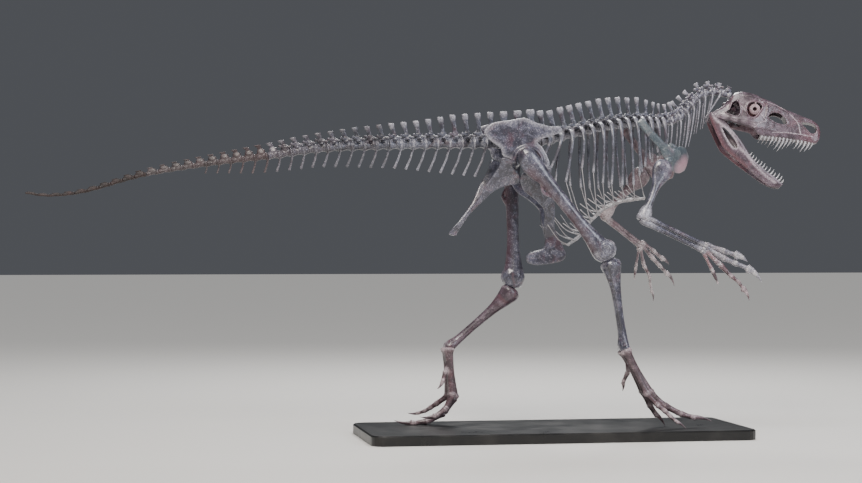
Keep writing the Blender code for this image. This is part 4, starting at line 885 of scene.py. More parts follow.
def head_frame(drop=0.0):
    """Where the skull sits, or the lower jaw when it has dropped by some degrees."""
    turn = (Matrix.Rotation(math.radians(SKULL_YAW), 4, "Z")
            @ Matrix.Rotation(math.radians(SKULL_PITCH), 4, "Y")
            @ Matrix.Rotation(math.radians(SKULL_ROLL), 4, "X")
            @ Matrix.Rotation(math.radians(drop), 4, "Y"))
    return Matrix.Translation(JAW_JOINT) @ turn


def skull_half_width(x):
    """How far the side wall of the skull is from the midline."""
    return graded([(s[0], s[3]) for s in SKULL_STATIONS], x)


def skull_floor(x):
    """The height of the skull's lower edge, where the upper teeth stand."""
    return graded([(s[0], s[1]) for s in SKULL_STATIONS], x)


def skull_ring(x, low, high, half_width):
    """The skull's cross-section at x, down its right side and up its left."""
    right = [Vector((x, -w * half_width, low + h * (high - low))) for w, h in SKULL_SECTION]
    left = [Vector((x, w * half_width, low + h * (high - low))) for w, h in SKULL_SECTION[-2:0:-1]]
    return right + left


# %% [markdown]
# Each window is a smooth loop through a few points, made into a block and cut
# through both walls. So the background shows through the skull, as it does in
# the picture.


# %% Cutting tools for the windows
def closed_curve(outline, steps):
    """A smooth closed loop through the points of an outline."""
    points = [Vector((x, 0, z)) for x, z in outline]
    loop = []
    for i in range(len(points)):
        four = [points[(i + j - 1) % len(points)] for j in range(4)]
        loop += [on_curve(*four, k / steps) for k in range(steps)]
    return loop


def window_tool(outline, reach=(-0.1, 0.1)):
    """A block in the shape of a window, long enough to cut both walls."""
    bm = bmesh.new()
    loop = closed_curve(outline, 4)
    skin(bm, [[p + Vector((0, y, 0)) for p in loop] for y in reach])
    return solid(bm, "window")


def carve(base, tools):
    """Cuts closed tools out of a closed base, removes them all, and gives back the clay."""
    for tool in tools:
        step = base.modifiers.new("carve", "BOOLEAN")
        step.operation = "DIFFERENCE"
        step.solver = "EXACT"
        step.object = tool
        mesh = evaluated(base)
        base.modifiers.clear()
        base.data = mesh
        bpy.data.objects.remove(tool, do_unlink=True)
    bm = bmesh.new()
    bm.from_mesh(base.data)
    bpy.data.objects.remove(base, do_unlink=True)
    return bm


# %% [markdown]
# The shell is hollowed and cut first. Then come the parts that give the face
# its look: rims round the windows, the brow, the ridges, and the seams between
# the bones. They follow the outer wall, which is found by casting rays at it.

# %% The skull
columns = [eased([s[i] for s in SKULL_STATIONS], 4) for i in range(4)]
bm = bmesh.new()
skin(bm, [skull_ring(*values) for values in zip(*columns)])
shell = solid(bm, "shell")
outside = BVHTree.FromPolygons([v.co for v in shell.data.vertices],
                               [p.vertices for p in shell.data.polygons])
WALL, CAVITY_END, PALATE_START, PALATE_THICKNESS = 0.0070, 0.235, 0.150, 0.012
BELOW_SKULL = -0.09
# A slit in the far cheek bar, seen through the open mouth
FAR_SLIT = ((0.0465, 0.0077), (0.0637, 0.011), (0.0766, 0.0071), (0.0881, 0.0017), (0.0811, -0.0034),
            (0.0657, -0.0039), (0.0512, 0.0004))
inner = [(-0.03, BELOW_SKULL, 0.0, 0.050)]
for x, low, high, w in SKULL_STATIONS[1::2]:
    if x < CAVITY_END:
        floor_height = BELOW_SKULL if x < PALATE_START else low + PALATE_THICKNESS
        inner.append((x, floor_height, high - WALL, w - WALL))
bm = bmesh.new()
skin(bm, [skull_ring(*station) for station in inner])
tools = [solid(bm, "hollow")] + [window_tool(outline) for outline in WINDOWS.values()]
tools.append(window_tool(FAR_SLIT, (0.02, 0.12)))
clay = carve(shell, tools)


def on_skull(x, z, side, lift=0.0):
    """The point of the outer wall at a place in side view."""
    hit = outside.ray_cast(Vector((x, side * 0.2, z)), Vector((0, -side, 0)))[0]
    return (hit or Vector((x, side * skull_half_width(x), z))) + Vector((0, side * lift, 0))


RIM_SIZE = {"eye_socket": 0.0030, "cheek": 0.0022, "snout_side": 0.0020, "nostril": 0.0016}
BROW = ((0.076, 0.076), (0.100, 0.077), (0.130, 0.073), (0.150, 0.062), (0.156, 0.040), (0.150, 0.010))
# Ridges along the nose, above the teeth and along the cheek bar, each with its size
RIDGES = ((((0.165, 0.062), (0.205, 0.050), (0.245, 0.040), (0.275, 0.033)), 0.0022),
          (((0.130, -0.016), (0.175, -0.018), (0.225, -0.018), (0.280, -0.018)), 0.0018),
          (((0.010, 0.004), (0.050, 0.000), (0.095, 0.002), (0.128, -0.006)), 0.0030))
for _, side in SIDES:
    for name, outline in WINDOWS.items():
        middle = sum((Vector((x, 0, z)) for x, z in outline), Vector()) / len(outline)
        loop = [p + 0.0012 * (p - middle).normalized() for p in closed_curve(outline, 2)]
        points = [on_skull(p.x, p.z, side, -0.0010) for p in loop]
        size = RIM_SIZE[name]
        tube(clay, points + points[:2], [(size, size)] * (len(points) + 2), 8, steps=1, tips=False)
    brow = [on_skull(x, z, side, -0.001) for x, z in BROW]
    tube(clay, brow, ((0.002, 0.002), (0.0035, 0.0035), (0.0045, 0.004), (0.0042, 0.004),
                      (0.0035, 0.0035), (0.002, 0.002)), 8)
    for line, size in RIDGES:
        points = [on_skull(x, z, side, -0.0008) for x, z in line]
        tube(clay, points, [(size, size)] * len(points), 8)
    # The knob that the lower jaw hinges on
    lump(clay, Vector((0.002, side * 0.049, 0.004)), (0.011, 0.008, 0.009))
# The braincase, and the knob behind it for the neck
tube(clay, ((0.036, 0, 0.052), (0.060, 0, 0.056), (0.100, 0, 0.066)),
     ((0.016, 0.012), (0.024, 0.020), (0.016, 0.020)), 14)
lump(clay, Vector((0.030, 0, 0.048)), (0.010, 0.009, 0.008))
# The side of the braincase shows through the cheek window, and a thin wall
# between the eyes behind each ring
lump(clay, Vector((0.050, 0, 0.034)), (0.020, 0.030, 0.018))
tube(clay, ((0.062, 0, 0.036), (0.100, 0, 0.036), (0.140, 0, 0.032), (0.165, 0, 0.034)),
     ((0.0035, 0.034), (0.0030, 0.033), (0.0030, 0.026), (0.0030, 0.018)), 14)
seam_spots = []
for _, side in SIDES:
    for line in SEAMS:
        points = [on_skull(x, z, side, 0.0002) for x, z in line]
        tube(clay, points, [(0.0007, 0.0007)] * len(points), 6)
        seam_spots += [p + 0.0012 * Vector((noise.noise(240 * p), 0, noise.noise(260 * p)))
                       for p in spots_along(eased(points, 3), 0.0012)]
head = head_frame()
bmesh.ops.transform(clay, matrix=head, verts=clay.verts)

# %% [markdown]
# On the skull the pale ground shows along the seams and the cheek bars. The
# snout and the eye sockets are the rosiest places.

# %% Where the skull is wiped and where it is rosy
CHEEK_BAR = ((0.004, 0.004), (0.03, 0.002), (0.06, -0.001), (0.09, 0.0), (0.12, -0.008))
SNOUT_TIP = ((0.31, 0.0), (0.30, -0.02))
on_seams = near([head @ p for p in seam_spots], 0.0018, 1.3)
bar = near([head @ Vector((x, side * 0.054, z)) for _, side in SIDES for x, z in CHEEK_BAR], 0.014, 0.5)
# The far cheek bar shows its inner face through the open mouth
far_bar = near([head @ Vector((x, 0.047, -0.012)) for x in (0.05, 0.07, 0.09, 0.11, 0.13)], 0.019, 1.2)
snout_tip = near([head @ Vector((x, side * 0.018, z)) for _, side in SIDES for x, z in SNOUT_TIP],
                 0.050, 0.5)
sockets = near([head @ Vector((0.114, y * MM, 0.036)) for y in range(-36, 37, 6)], 0.036, 1.4)
piece("skull_bones", clay, MAUVE, ("skull",), 0.0014, smooth=2, uneven=0.0006, keep=0.68,
      wiped=either(on_seams, bar, lambda p: 0.5 * far_bar(p)), flushed=either(snout_tip, sockets, far_bar))

# %% [markdown]
# Teeth are flattened, bend back, and differ in length, because a living animal
# sheds and regrows them one by one. They stay out of the voxel skin so that
# their points keep sharp.

# %% Teeth
UPPER_TEETH = (0.018, 0.025, 0.027, 0.021, 0.024, 0.010, 0.020, 0.025, 0.033, 0.029, 0.018, 0.022, 0.014,
               0.013, 0.010)
LOWER_TEETH = (0.012, 0.017, 0.018, 0.013, 0.018, 0.016, 0.012, 0.015, 0.014, 0.011, 0.012, 0.010, 0.009)
UPPER_ROW, LOWER_ROW = (0.306, 0.150), (0.284, 0.158)
FULL_TOOTH = 0.028                       # teeth shorter than this, root and all, are thinner too
UPPER_TOOTH, LOWER_TOOTH = (0.0031, 0.0022), (0.0027, 0.0020)     # half width and half thickness
TOOTH_ROOT = 0.005
JAW_STATIONS = (
    (-0.016, -0.012, 0.001, 0.050), (-0.002, -0.018, 0.009, 0.050), (0.014, -0.025, 0.005, 0.050),
    (0.036, -0.033, 0.011, 0.049), (0.060, -0.042, 0.010, 0.047), (0.085, -0.049, 0.008, 0.044),
    (0.112, -0.048, 0.005, 0.040), (0.142, -0.046, -0.001, 0.035), (0.175, -0.042, -0.006, 0.029),
    (0.210, -0.038, -0.003, 0.022), (0.245, -0.033, 0.003, 0.014), (0.274, -0.024, 0.008, 0.007),
    (0.291, -0.011, 0.009, 0.0045))


def tooth(bm, root, tip, width, thickness):
    """One tooth from root to tip, bulging forward before it bends back."""
    middle = root.lerp(tip, 0.5) + Vector((0.10 * (tip - root).length, 0, 0))
    grown = min(0.45 + 0.55 * (tip - root).length / FULL_TOOTH, 1.1)
    sizes = ((grown * thickness, grown * width), (0.80 * grown * thickness, 0.76 * grown * width),
             (0.0003, 0.0004))
    tube(bm, (root, middle, tip), sizes, 8, steps=4, square=1.0)


def jaw_middle(x):
    """How far from the midline each plate of the lower jaw lies."""
    return graded([(s[0], s[3]) for s in JAW_STATIONS], x)


upper, lower = bmesh.new(), bmesh.new()
for _, side in SIDES:
    for k, length in enumerate(UPPER_TEETH):
        x = UPPER_ROW[0] + (UPPER_ROW[1] - UPPER_ROW[0]) * k / (len(UPPER_TEETH) - 1)
        y = side * (skull_half_width(x) * 0.93 - 0.0026)
        gum = skull_floor(x)
        tooth(upper, Vector((x, y, gum + TOOTH_ROOT)), Vector((x - 0.34 * length, y, gum - length)),
              *UPPER_TOOTH)
    for k, length in enumerate(LOWER_TEETH):
        x = LOWER_ROW[0] + (LOWER_ROW[1] - LOWER_ROW[0]) * k / (len(LOWER_TEETH) - 1)
        y = side * jaw_middle(x)
        gum = graded([(s[0], s[2]) for s in JAW_STATIONS], x)
        tooth(lower, Vector((x, y, gum - TOOTH_ROOT)), Vector((x - 0.15 * length, y, gum + length)),
              *LOWER_TOOTH)
bmesh.ops.transform(upper, matrix=head_frame(), verts=upper.verts)
bmesh.ops.transform(lower, matrix=head_frame(JAW_DROP), verts=lower.verts)
piece("upper_teeth", upper, ENAMEL, ())
piece("lower_teeth", lower, ENAMEL, ())

# %% [markdown]
# The lower jaw is two thin plates that meet at the chin, each with a window.

# %% The lower jaw
JAW_WINDOW = ((0.036, -0.008), (0.055, -0.003), (0.082, -0.005), (0.104, -0.009), (0.118, -0.018),
              (0.108, -0.028), (0.086, -0.026), (0.060, -0.019))
JAW_HALF = 0.0046
# Lines on its outer face: a ridge behind the teeth, and the edges where the stain is wiped
JAW_RIDGE = ((0.132, -0.040), (0.128, -0.022), (0.138, -0.008))
JAW_EDGES = (((0.126, -0.014), (0.150, -0.012), (0.190, -0.016), (0.235, -0.014), (0.270, -0.006)),
             ((-0.004, -0.004), (0.02, -0.006), (0.04, -0.001), (0.08, 0.003)))


def on_jaw(x, z, side, out=1.0):
    """A point of the plate: out is 0 in its middle and 1 on its outer face."""
    return Vector((x, side * (jaw_middle(x) + out * JAW_HALF), z))


clay = bmesh.new()
for _, side in SIDES:
    columns = [eased([s[i] for s in JAW_STATIONS], 4) for i in range(4)]
    rings = []
    for x, low, high, middle in zip(*columns):
        centre = Vector((x, side * middle, (low + high) / 2))
        rings.append(rounded_ring(centre, Vector((0, 1, 0)), Vector((0, 0, 1)), JAW_HALF,
                                  (high - low) / 2, 16, 0.8))
    bm = bmesh.new()
    skin(bm, rings)
    cut = carve(solid(bm, "branch"), [window_tool(JAW_WINDOW)])
    branch = bpy.data.meshes.new("branch")
    cut.to_mesh(branch)
    cut.free()
    clay.from_mesh(branch)
    tube(clay, [on_jaw(x, z, side) for x, z in JAW_RIDGE], ((0.0012, 0.0012),) * 3, 6)
    lump(clay, Vector((-0.006, side * 0.050, -0.003)), (0.012, 0.008, 0.009))
    rim = [on_jaw(p.x, p.z, side, 0.6) for p in closed_curve(JAW_WINDOW, 2)]
    tube(clay, rim + rim[:2], [(0.0020, 0.0020)] * (len(rim) + 2), 8, steps=1, tips=False)
head = head_frame(JAW_DROP)
bmesh.ops.transform(clay, matrix=head, verts=clay.verts)
window_edge = tuple((p.x, p.z) for p in closed_curve(JAW_WINDOW, 2))
jaw_edge, jaw_floor = [], []
for _, side in SIDES:
    for line in (window_edge,) + JAW_EDGES:
        jaw_edge += spots_along([head @ on_jaw(x, z, side) for x, z in line], 0.003)
    jaw_floor += spots_along([head @ Vector((s[0], side * s[3], s[1])) for s in JAW_STATIONS[1:9]], 0.004)
piece("jaw_bones", clay, MAUVE, ("lower_jaw",), 0.0014, smooth=3, uneven=0.0006, keep=0.7,
      wiped=near(jaw_edge, 0.0065, 0.85), flushed=near(jaw_floor, 0.016, 0.8))

# %% [markdown]
# The ring in the eye socket is a wreath of thin overlapping plates that braced
# the eyeball. Each plate is a small curved scale, so the joints show.

# %% Eye rings
EYE_PLACE, EYE_OUTER, EYE_INNER, EYE_PLATES = (0.117, 0.038), 0.0165, 0.0060, 14
for name, side in SIDES:
    clay = bmesh.new()
    x, z = EYE_PLACE
    y = side * (skull_half_width(x) * 0.955 - 0.004)
    for k in range(EYE_PLATES):
        turn = 2 * math.pi * k / EYE_PLATES
        rings = []
        for share in (0.0, 0.3, 0.7, 1.0):
            reach = EYE_INNER + share * (EYE_OUTER - EYE_INNER)
            half = 0.58 * 2 * math.pi * reach / EYE_PLATES
            out = Vector((math.cos(turn), 0, math.sin(turn)))
            along = Vector((-math.sin(turn), side * 0.16, math.cos(turn)))
            centre = Vector((x, y, z)) + reach * out + Vector((0, side * 0.0022 * (1 - share ** 2), 0))
            rings.append(rounded_ring(centre, along, Vector((0, 1, 0)), half, 0.0009, 10, 0.8))
        skin(clay, rings)
    top = Vector((x, y - side * 0.001, z + 0.9 * EYE_OUTER))
    tube(clay, (top, top + Vector((0, 0, 0.010))), ((0.0012, 0.003),) * 2, 6, steps=2)
    bmesh.ops.transform(clay, matrix=head_frame(), verts=clay.verts)
    piece("eye_plates_" + name, clay, RING, ("eye_ring_" + name,))

# %% [markdown]
# Shoulder blade and coracoid are one curved plate that lies on the ribs. It is
# thin in the middle and thick round the arm socket.

# %% Shoulders
SHOULDER_LINE = (
    (0.256, 0.073, 0.956, 0.0135, 0.0025), (0.288, 0.085, 0.916, 0.0125, 0.0035),
    (0.320, 0.092, 0.880, 0.0135, 0.0045), (0.343, 0.094, 0.856, 0.0250, 0.0080),
    (0.366, 0.086, 0.842, 0.0400, 0.0065), (0.390, 0.070, 0.834, 0.0400, 0.0050),
    (0.410, 0.052, 0.828, 0.0240, 0.0035))
SHOULDER_SHIFT = {RIGHT: Vector(), LEFT: Vector((-0.006, 0, -0.020))}
for name, side in SIDES:
    clay = bmesh.new()
    points = [on_side(p[:3], side) + SHOULDER_SHIFT[side] for p in SHOULDER_LINE]
    tube(clay, points, [(p[4], p[3]) for p in SHOULDER_LINE], 20, steps=5, square=0.85)
    socket = points[3].lerp(points[4], 0.2)
    lump(clay, socket + Vector((-0.008, side * 0.004, -0.020)), (0.014, 0.009, 0.011))
    lump(clay, socket + Vector((0.006, side * 0.003, 0.024)), (0.015, 0.006, 0.008), (1, 0, -0.5))
    suture = [on_side((x, 0.086 - 0.9 * (x - 0.34), z), side) + SHOULDER_SHIFT[side]
              for x, z in ((0.334, 0.842), (0.350, 0.835), (0.368, 0.840), (0.386, 0.850), (0.404, 0.856))]
    low_edge = on_side((0.386, 0.072, 0.812), side) + SHOULDER_SHIFT[side]
    rosy = near([low_edge, low_edge + Vector((0.014, 0, 0.010))], 0.036, 1.5)
    piece("shoulder_" + name, clay, GREEN if side == RIGHT else BLUSH, ("scapula_coracoid_" + name,),
          0.0017, smooth=4, wiped=near(spots_along(suture), 0.0075),
          flushed=rosy if side == RIGHT else None)

# %% [markdown]
# A long bone is a tube with a knuckle at each end. The knuckles carry the
# character: a crest for the muscle, a pair of condyles, a knob at the elbow.

# %% Arms
HUMERUS_LENGTH, FOREARM_LENGTH, FOREARM_SPACING = 0.186, 0.198, 0.0085
SHOULDER_JOINT = (0.328, 0.101, 0.826)
ARM_POSE = {RIGHT: ((-114.5, 9.0), (-25.7, 5.5)), LEFT: ((-132.0, 12.0), (-32.0, 30.0))}
# The far forearm and hand are the finer cast of the two
ARM_BUILD = {RIGHT: 1.0, LEFT: 0.80}
HUMERUS_SHAPE = (
    (-0.03, 0.009, 0.017), (0.04, 0.012, 0.028), (0.16, 0.010, 0.031), (0.28, 0.009, 0.024),
    (0.42, 0.009, 0.014), (0.60, 0.009, 0.0102), (0.77, 0.0105, 0.0122), (0.88, 0.015, 0.0200),
    (0.99, 0.015, 0.0205))
ULNA_SHAPE = ((-0.09, 0.007, 0.007), (0.0, 0.010, 0.0105), (0.12, 0.0080, 0.0090),
              (0.5, 0.0068, 0.0074), (0.85, 0.0072, 0.0076), (1.0, 0.0080, 0.0088))
RADIUS_SHAPE = ((0.02, 0.0090, 0.0088), (0.12, 0.0072, 0.0074), (0.5, 0.0064, 0.0068),
                (0.85, 0.0070, 0.0070), (1.0, 0.0080, 0.0086))


def ahead_of(down):
    """The forward direction across a bone that points down."""
    ahead = down.cross(Vector((0, 1, 0))).normalized()
    return ahead if ahead.x > 0 else -ahead


def above(reach):
    """The upward direction across a bone that points forward."""
    lift = reach.cross(Vector((0, 1, 0))).normalized()
    return lift if lift.z > 0 else -lift


def arm_joints(side):
    """Shoulder, elbow and wrist."""
    (upper_pitch, upper_splay), (lower_pitch, lower_splay) = ARM_POSE[side]
    top = on_side(SHOULDER_JOINT, side) + SHOULDER_SHIFT[side]
    elbow = top + HUMERUS_LENGTH * direction(upper_pitch, upper_splay, side)
    return top, elbow, elbow + FOREARM_LENGTH * direction(lower_pitch, lower_splay, side)


for name, side in SIDES:
    top, elbow, wrist = arm_joints(side)
    down, reach = (elbow - top).normalized(), (wrist - elbow).normalized()
    ahead, lift = ahead_of(down), above(reach)
    finish = SLATE if side == RIGHT else BLUSH
    spacing = FOREARM_SPACING * (0.96 if side == RIGHT else 0.56)
    ulna_shape, radius_shape = [[(t, ARM_BUILD[side] * w, ARM_BUILD[side] * d) for t, w, d in shape]
                                for shape in (ULNA_SHAPE, RADIUS_SHAPE)]
    clay = bmesh.new()
    shaft(clay, top, elbow, HUMERUS_SHAPE)
    for way in (-1, 1):
        lump(clay, elbow - 0.001 * down + way * 0.012 * ahead, (0.0115, 0.0145, 0.0110), down)
    lump(clay, top + 0.004 * down - 0.006 * ahead, (0.012, 0.011, 0.015), down)
    crown = [top + 0.010 * down + across * ahead for across in (-0.02, -0.01, 0.0, 0.01, 0.02)]
    piece("upper_arm_" + name, clay, finish, ("humerus_" + name,), 0.0015,
          wiped=either(near([elbow - 0.010 * down], 0.040, 1.3), near(crown, 0.012, 0.6)))
    clay = bmesh.new()
    start = elbow + 0.010 * reach
    shaft(clay, start - spacing * lift, wrist - spacing * lift, ulna_shape)
    lump(clay, start - 0.006 * reach - spacing * lift, (0.010, 0.008, 0.009), reach)
    ends = [start, start + 0.015 * reach, wrist]
    piece("forearm_ulna_" + name, clay, finish, ("ulna_" + name,), 0.0012,
          wiped=near(ends, 0.028, 0.9))
    clay = bmesh.new()
    shaft(clay, start + spacing * lift, wrist + spacing * lift, radius_shape)
    piece("forearm_radius_" + name, clay, finish, ("radius_" + name,), 0.0012,
          wiped=near(ends, 0.024, 0.9))

# %% [markdown]
# A finger or toe is a row of little spools with a pair of round condyles at the
# far end of each, and a claw. The same function makes all of them.


# %% One finger or toe
TAPER = 0.12                             # each bone of a finger or toe is this much slimmer


def phalanx(bm, start, end, root, far):
    """One finger bone, with its two condyles at the far end."""
    step = end - start
    along = step.normalized()
    wide = Vector((0, 1, 0))
    wide = (wide - wide.dot(along) * along).normalized()
    shape = ((0.03, 0.90 * root, 0.94 * root), (0.11, root, root), (0.28, 0.86 * root, 0.84 * root),
             (0.55, 0.74 * root, 0.74 * root), (0.80, 0.86 * far, 0.80 * far), (0.92, far, 0.92 * far))
    points = [start + t * step for t, _, _ in shape]
    tube(bm, points, [(w, d) for _, w, d in shape], 14, steps=3)
    for way in (-1, 1):
        lump(bm, end - 0.35 * far * along + way * 0.48 * far * wide,
             (0.62 * far, 0.46 * far, 0.80 * far), along)


def claw(bm, start, length, pitch, curl, splay, side, radius):
    """A hooked claw with a heel below its root."""
    point, points, sizes = start, [], []
    count = 7
    for k in range(count):
        share = k / (count - 1)
        narrow = 1 - 0.93 * share ** 0.9
        points.append(point)
        sizes.append((0.66 * radius * narrow, radius * narrow))
        way = direction(pitch - curl * (share - 0.3), splay, side)
        point = point + way * length / (count - 1)
    tube(bm, points, sizes, 12, steps=2, square=1.0)
    lump(bm, start + 0.10 * (point - start), (0.6 * radius, 0.55 * radius, 0.95 * radius),
         points[1] - start)


def digit(bm, start, lengths, pitches, splay, side, size, curl, claw_size=1.0):
    """A row of phalanges and a claw; gives back its joints."""
    point = Vector(start)
    joints = [point.copy()]
    for k, (length, pitch) in enumerate(zip(lengths[:-1], pitches[:-1])):
        radius = size * (1 - TAPER * k)
        step = direction(pitch, splay, side) * length
        phalanx(bm, point, point + step, radius, 0.9 * radius)
        point = point + step
        joints.append(point)
    claw(bm, point, lengths[-1], pitches[-1], curl, splay, side,
         claw_size * size * (1 - TAPER * (len(lengths) - 1)))
    return joints


# %% [markdown]
# A hand has two rows of small wrist bones, four palm bones and four fingers, of
# which the outermost is a stub. The far hand is slimmer and points further down.

# %% Hands
FINGERS = (
    (1, (0.053, 0.043, 0.043), 0.012), (2, (0.063, 0.040, 0.044, 0.064), 0.004),
    (3, (0.067, 0.046, 0.031, 0.024, 0.044), -0.004), (4, (0.063, 0.044), -0.012))
FINGER_PITCH = {
    RIGHT: ((-20, -18, -25), (-31, -23, -22, -40), (-43, -46, -37, -55, -58), (-63, -66)),
    LEFT: ((-33, -36, -32), (-44, -42, -40, -48), (-72, -55, -76, -72, -70), (-93, -91))}
HAND_SPLAY = {RIGHT: 2.0, LEFT: 23.8}
FINGER_SIZE, FINGER_CURL = (0.0098, 0.0106, 0.0092, 0.0070), 42.0
FINGER_CLAW = {RIGHT: 1.75, LEFT: 1.4}
# How far the wiped stain reaches round each joint
FINGER_WIPE, PALM_WIPE = {RIGHT: 0.0125, LEFT: 0.022}, {RIGHT: 0.0120, LEFT: 0.022}
for name, side in SIDES:
    _, elbow, wrist = arm_joints(side)
    reach = (wrist - elbow).normalized()
    lift = above(reach)
    palm = bmesh.new()
    knuckles = [wrist, wrist + 0.010 * lift, wrist - 0.010 * lift]
    outer_palm = []
    # Two rows of small wrist bones
    for place in (-0.013, -0.004, 0.005, 0.013):
        lump(palm, wrist + 0.005 * reach + place * lift, (0.0062, 0.0080, 0.0056), reach)
        lump(palm, wrist + 0.012 * reach + place * lift, (0.0050, 0.0070, 0.0050), reach)
    for (number, lengths, place), pitches in zip(FINGERS, FINGER_PITCH[side]):
        size = FINGER_SIZE[number - 1] * ARM_BUILD[side]
        base = wrist + 0.0072 * reach + place * lift
        end = base + lengths[0] * direction(pitches[0], HAND_SPLAY[side], side)
        phalanx(palm, base, end, 0.85 * size, size)
        if number > 2:
            outer_palm += spots_along([base.lerp(end, 0.2), base.lerp(end, 0.9)], 0.006)
        finger = bmesh.new()
        size *= 0.94
        knuckles.append(end)
        if len(lengths) > 2:
            joints = digit(finger, end, lengths[1:], pitches[1:], HAND_SPLAY[side], side, size,
                           FINGER_CURL, FINGER_CLAW[side])
            # The near hand's claws are pale to their middle
            if side == RIGHT:
                way = direction(pitches[-1], HAND_SPLAY[side], side)
                joints.append(joints[-1] + 0.40 * lengths[-1] * way)
        else:
            joints = [end, end + lengths[1] * direction(pitches[1], HAND_SPLAY[side], side)]
            phalanx(finger, end, joints[1], size, 0.5 * size)
        finish = BLUSH if side == LEFT else PALE if number < 3 else ROSE
        slot = "pale_bone" if number < 3 else "rose_bone"
        piece("finger_bones_%d_%s" % (number, name), finger, finish, ("finger_%d_%s" % (number, name),),
              0.0009, smooth=3, uneven=0.0004, keep=0.45,
              wiped=near(joints, FINGER_WIPE[side], 1.4))
    piece("palm_bones_" + name, palm, PALE if side == RIGHT else BLUSH, ("palm_" + name,),
          0.0010, smooth=3, uneven=0.0004, keep=0.45, wiped=near(knuckles, PALM_WIPE[side], 1.4),
          flushed=near(outer_palm, 0.011, 2.0) if side == RIGHT else None)

# %% [markdown]
# The hip is three plates round an open socket: a blade above, a bar that runs
# down and forward to a boot, and a rod that runs back. Their outlines are cut
# flat, skinned, and then pressed: thick at the socket, thin in the blade.

# %% Hip outlines
SOCKET_RADIUS = 0.037
ILIUM_OUTLINE = (
    (-0.132, 0.086), (-0.122, 0.104), (-0.100, 0.118), (-0.053, 0.124), (-0.008, 0.132),
    (0.030, 0.117), (0.072, 0.107), (0.100, 0.107), (0.104, 0.090), (0.064, 0.076),
    (0.030, 0.062), (0.044, 0.046), (0.060, 0.020), (0.068, -0.010), (0.042, -0.013),
    (0.036, 0.006), (0.020, 0.031), (0.000, 0.037), (-0.022, 0.030), (-0.038, 0.010),
    (-0.050, 0.008), (-0.070, 0.014), (-0.078, 0.026), (-0.082, 0.042), (-0.108, 0.060))
PUBIS_OUTLINE = (
    (0.070, -0.012), (0.074, -0.038), (0.078, -0.072), (0.088, -0.102), (0.095, -0.142),
    (0.098, -0.192), (0.112, -0.222), (0.130, -0.259), (0.136, -0.280), (0.123, -0.296),
    (0.086, -0.305), (0.046, -0.308), (0.021, -0.302), (0.015, -0.287), (0.026, -0.271),
    (0.055, -0.263), (0.072, -0.250), (0.072, -0.217), (0.065, -0.182), (0.063, -0.142),
    (0.030, -0.109), (-0.006, -0.083), (-0.020, -0.042), (0.008, -0.034), (0.040, -0.016))
ISCHIUM_OUTLINE = (
    (-0.050, 0.005), (-0.077, 0.012), (-0.086, -0.012), (-0.101, -0.039), (-0.123, -0.072),
    (-0.142, -0.113), (-0.173, -0.155), (-0.221, -0.209), (-0.215, -0.218), (-0.203, -0.219),
    (-0.194, -0.203), (-0.167, -0.158), (-0.136, -0.125), (-0.106, -0.095), (-0.084, -0.080),
    (-0.060, -0.071), (-0.022, -0.062), (-0.022, -0.039), (-0.034, -0.030), (-0.043, -0.012))
# Height of the top, how far out it is, and the height where it meets its twin
PUBIS_LEAN, ISCHIUM_LEAN = (0.810, 0.080, 0.605), (0.832, 0.080, 0.618)
PUBIS_SEAM = ((0.028, -0.022), (0.048, -0.020), (0.070, -0.014))


def flat_bone(bm, outline):
    """A flat bone in the shape of its outline, on the midline for now."""
    loop = [p + Vector((HIP[0], 0, HIP[2])) for p in closed_curve(outline, 3)]
    skin(bm, [[p + Vector((0, s * BLADE_THICKNESS / 2, 0)) for p in loop] for s in (-1, 1)])


def pressed(thin, reach):
    """Thins a flat bone away from the socket and leaves a rounded thick root."""
    def shape(p):
        away = (Vector((p.x, 0, p.z)) - Vector((HIP[0], 0, HIP[2]))).length - SOCKET_RADIUS
        p.y *= thin + (1.12 - thin) * math.exp(-max(away, 0) / reach)
        return p
    return shape


def leaned(lean, side, press):
    """Presses a flat bone and leans it in from the hip to the midline."""
    top, out, low = lean
    inner = BLADE_THICKNESS / 2 + 0.00015

    def shape(p):
        p = press(p)
        share = max(p.z - low, 0.0) / (top - low)
        p.y += side * (inner + share * (out - inner))
        return p
    return shape


def outline_marks(outline, side, reach, most):
    """Wiped edges: the outline of a flat bone, marked on both its faces."""
    loop = closed_curve(outline, 3)
    return near([Vector((HIP[0] + p.x, side * HIP[1], HIP[2] + p.z)) for p in loop], reach, most)


def moved_out(side, press):
    """Presses a flat bone and moves it out from the midline to its hip."""
    def shape(p):
        p = press(p)
        p.y += side * HIP[1]
        return p
    return shape


# %% [markdown]
# Each plate is made on the midline and moved out to its side at the end. The
# two lower ones lean in from the socket to meet their twins.

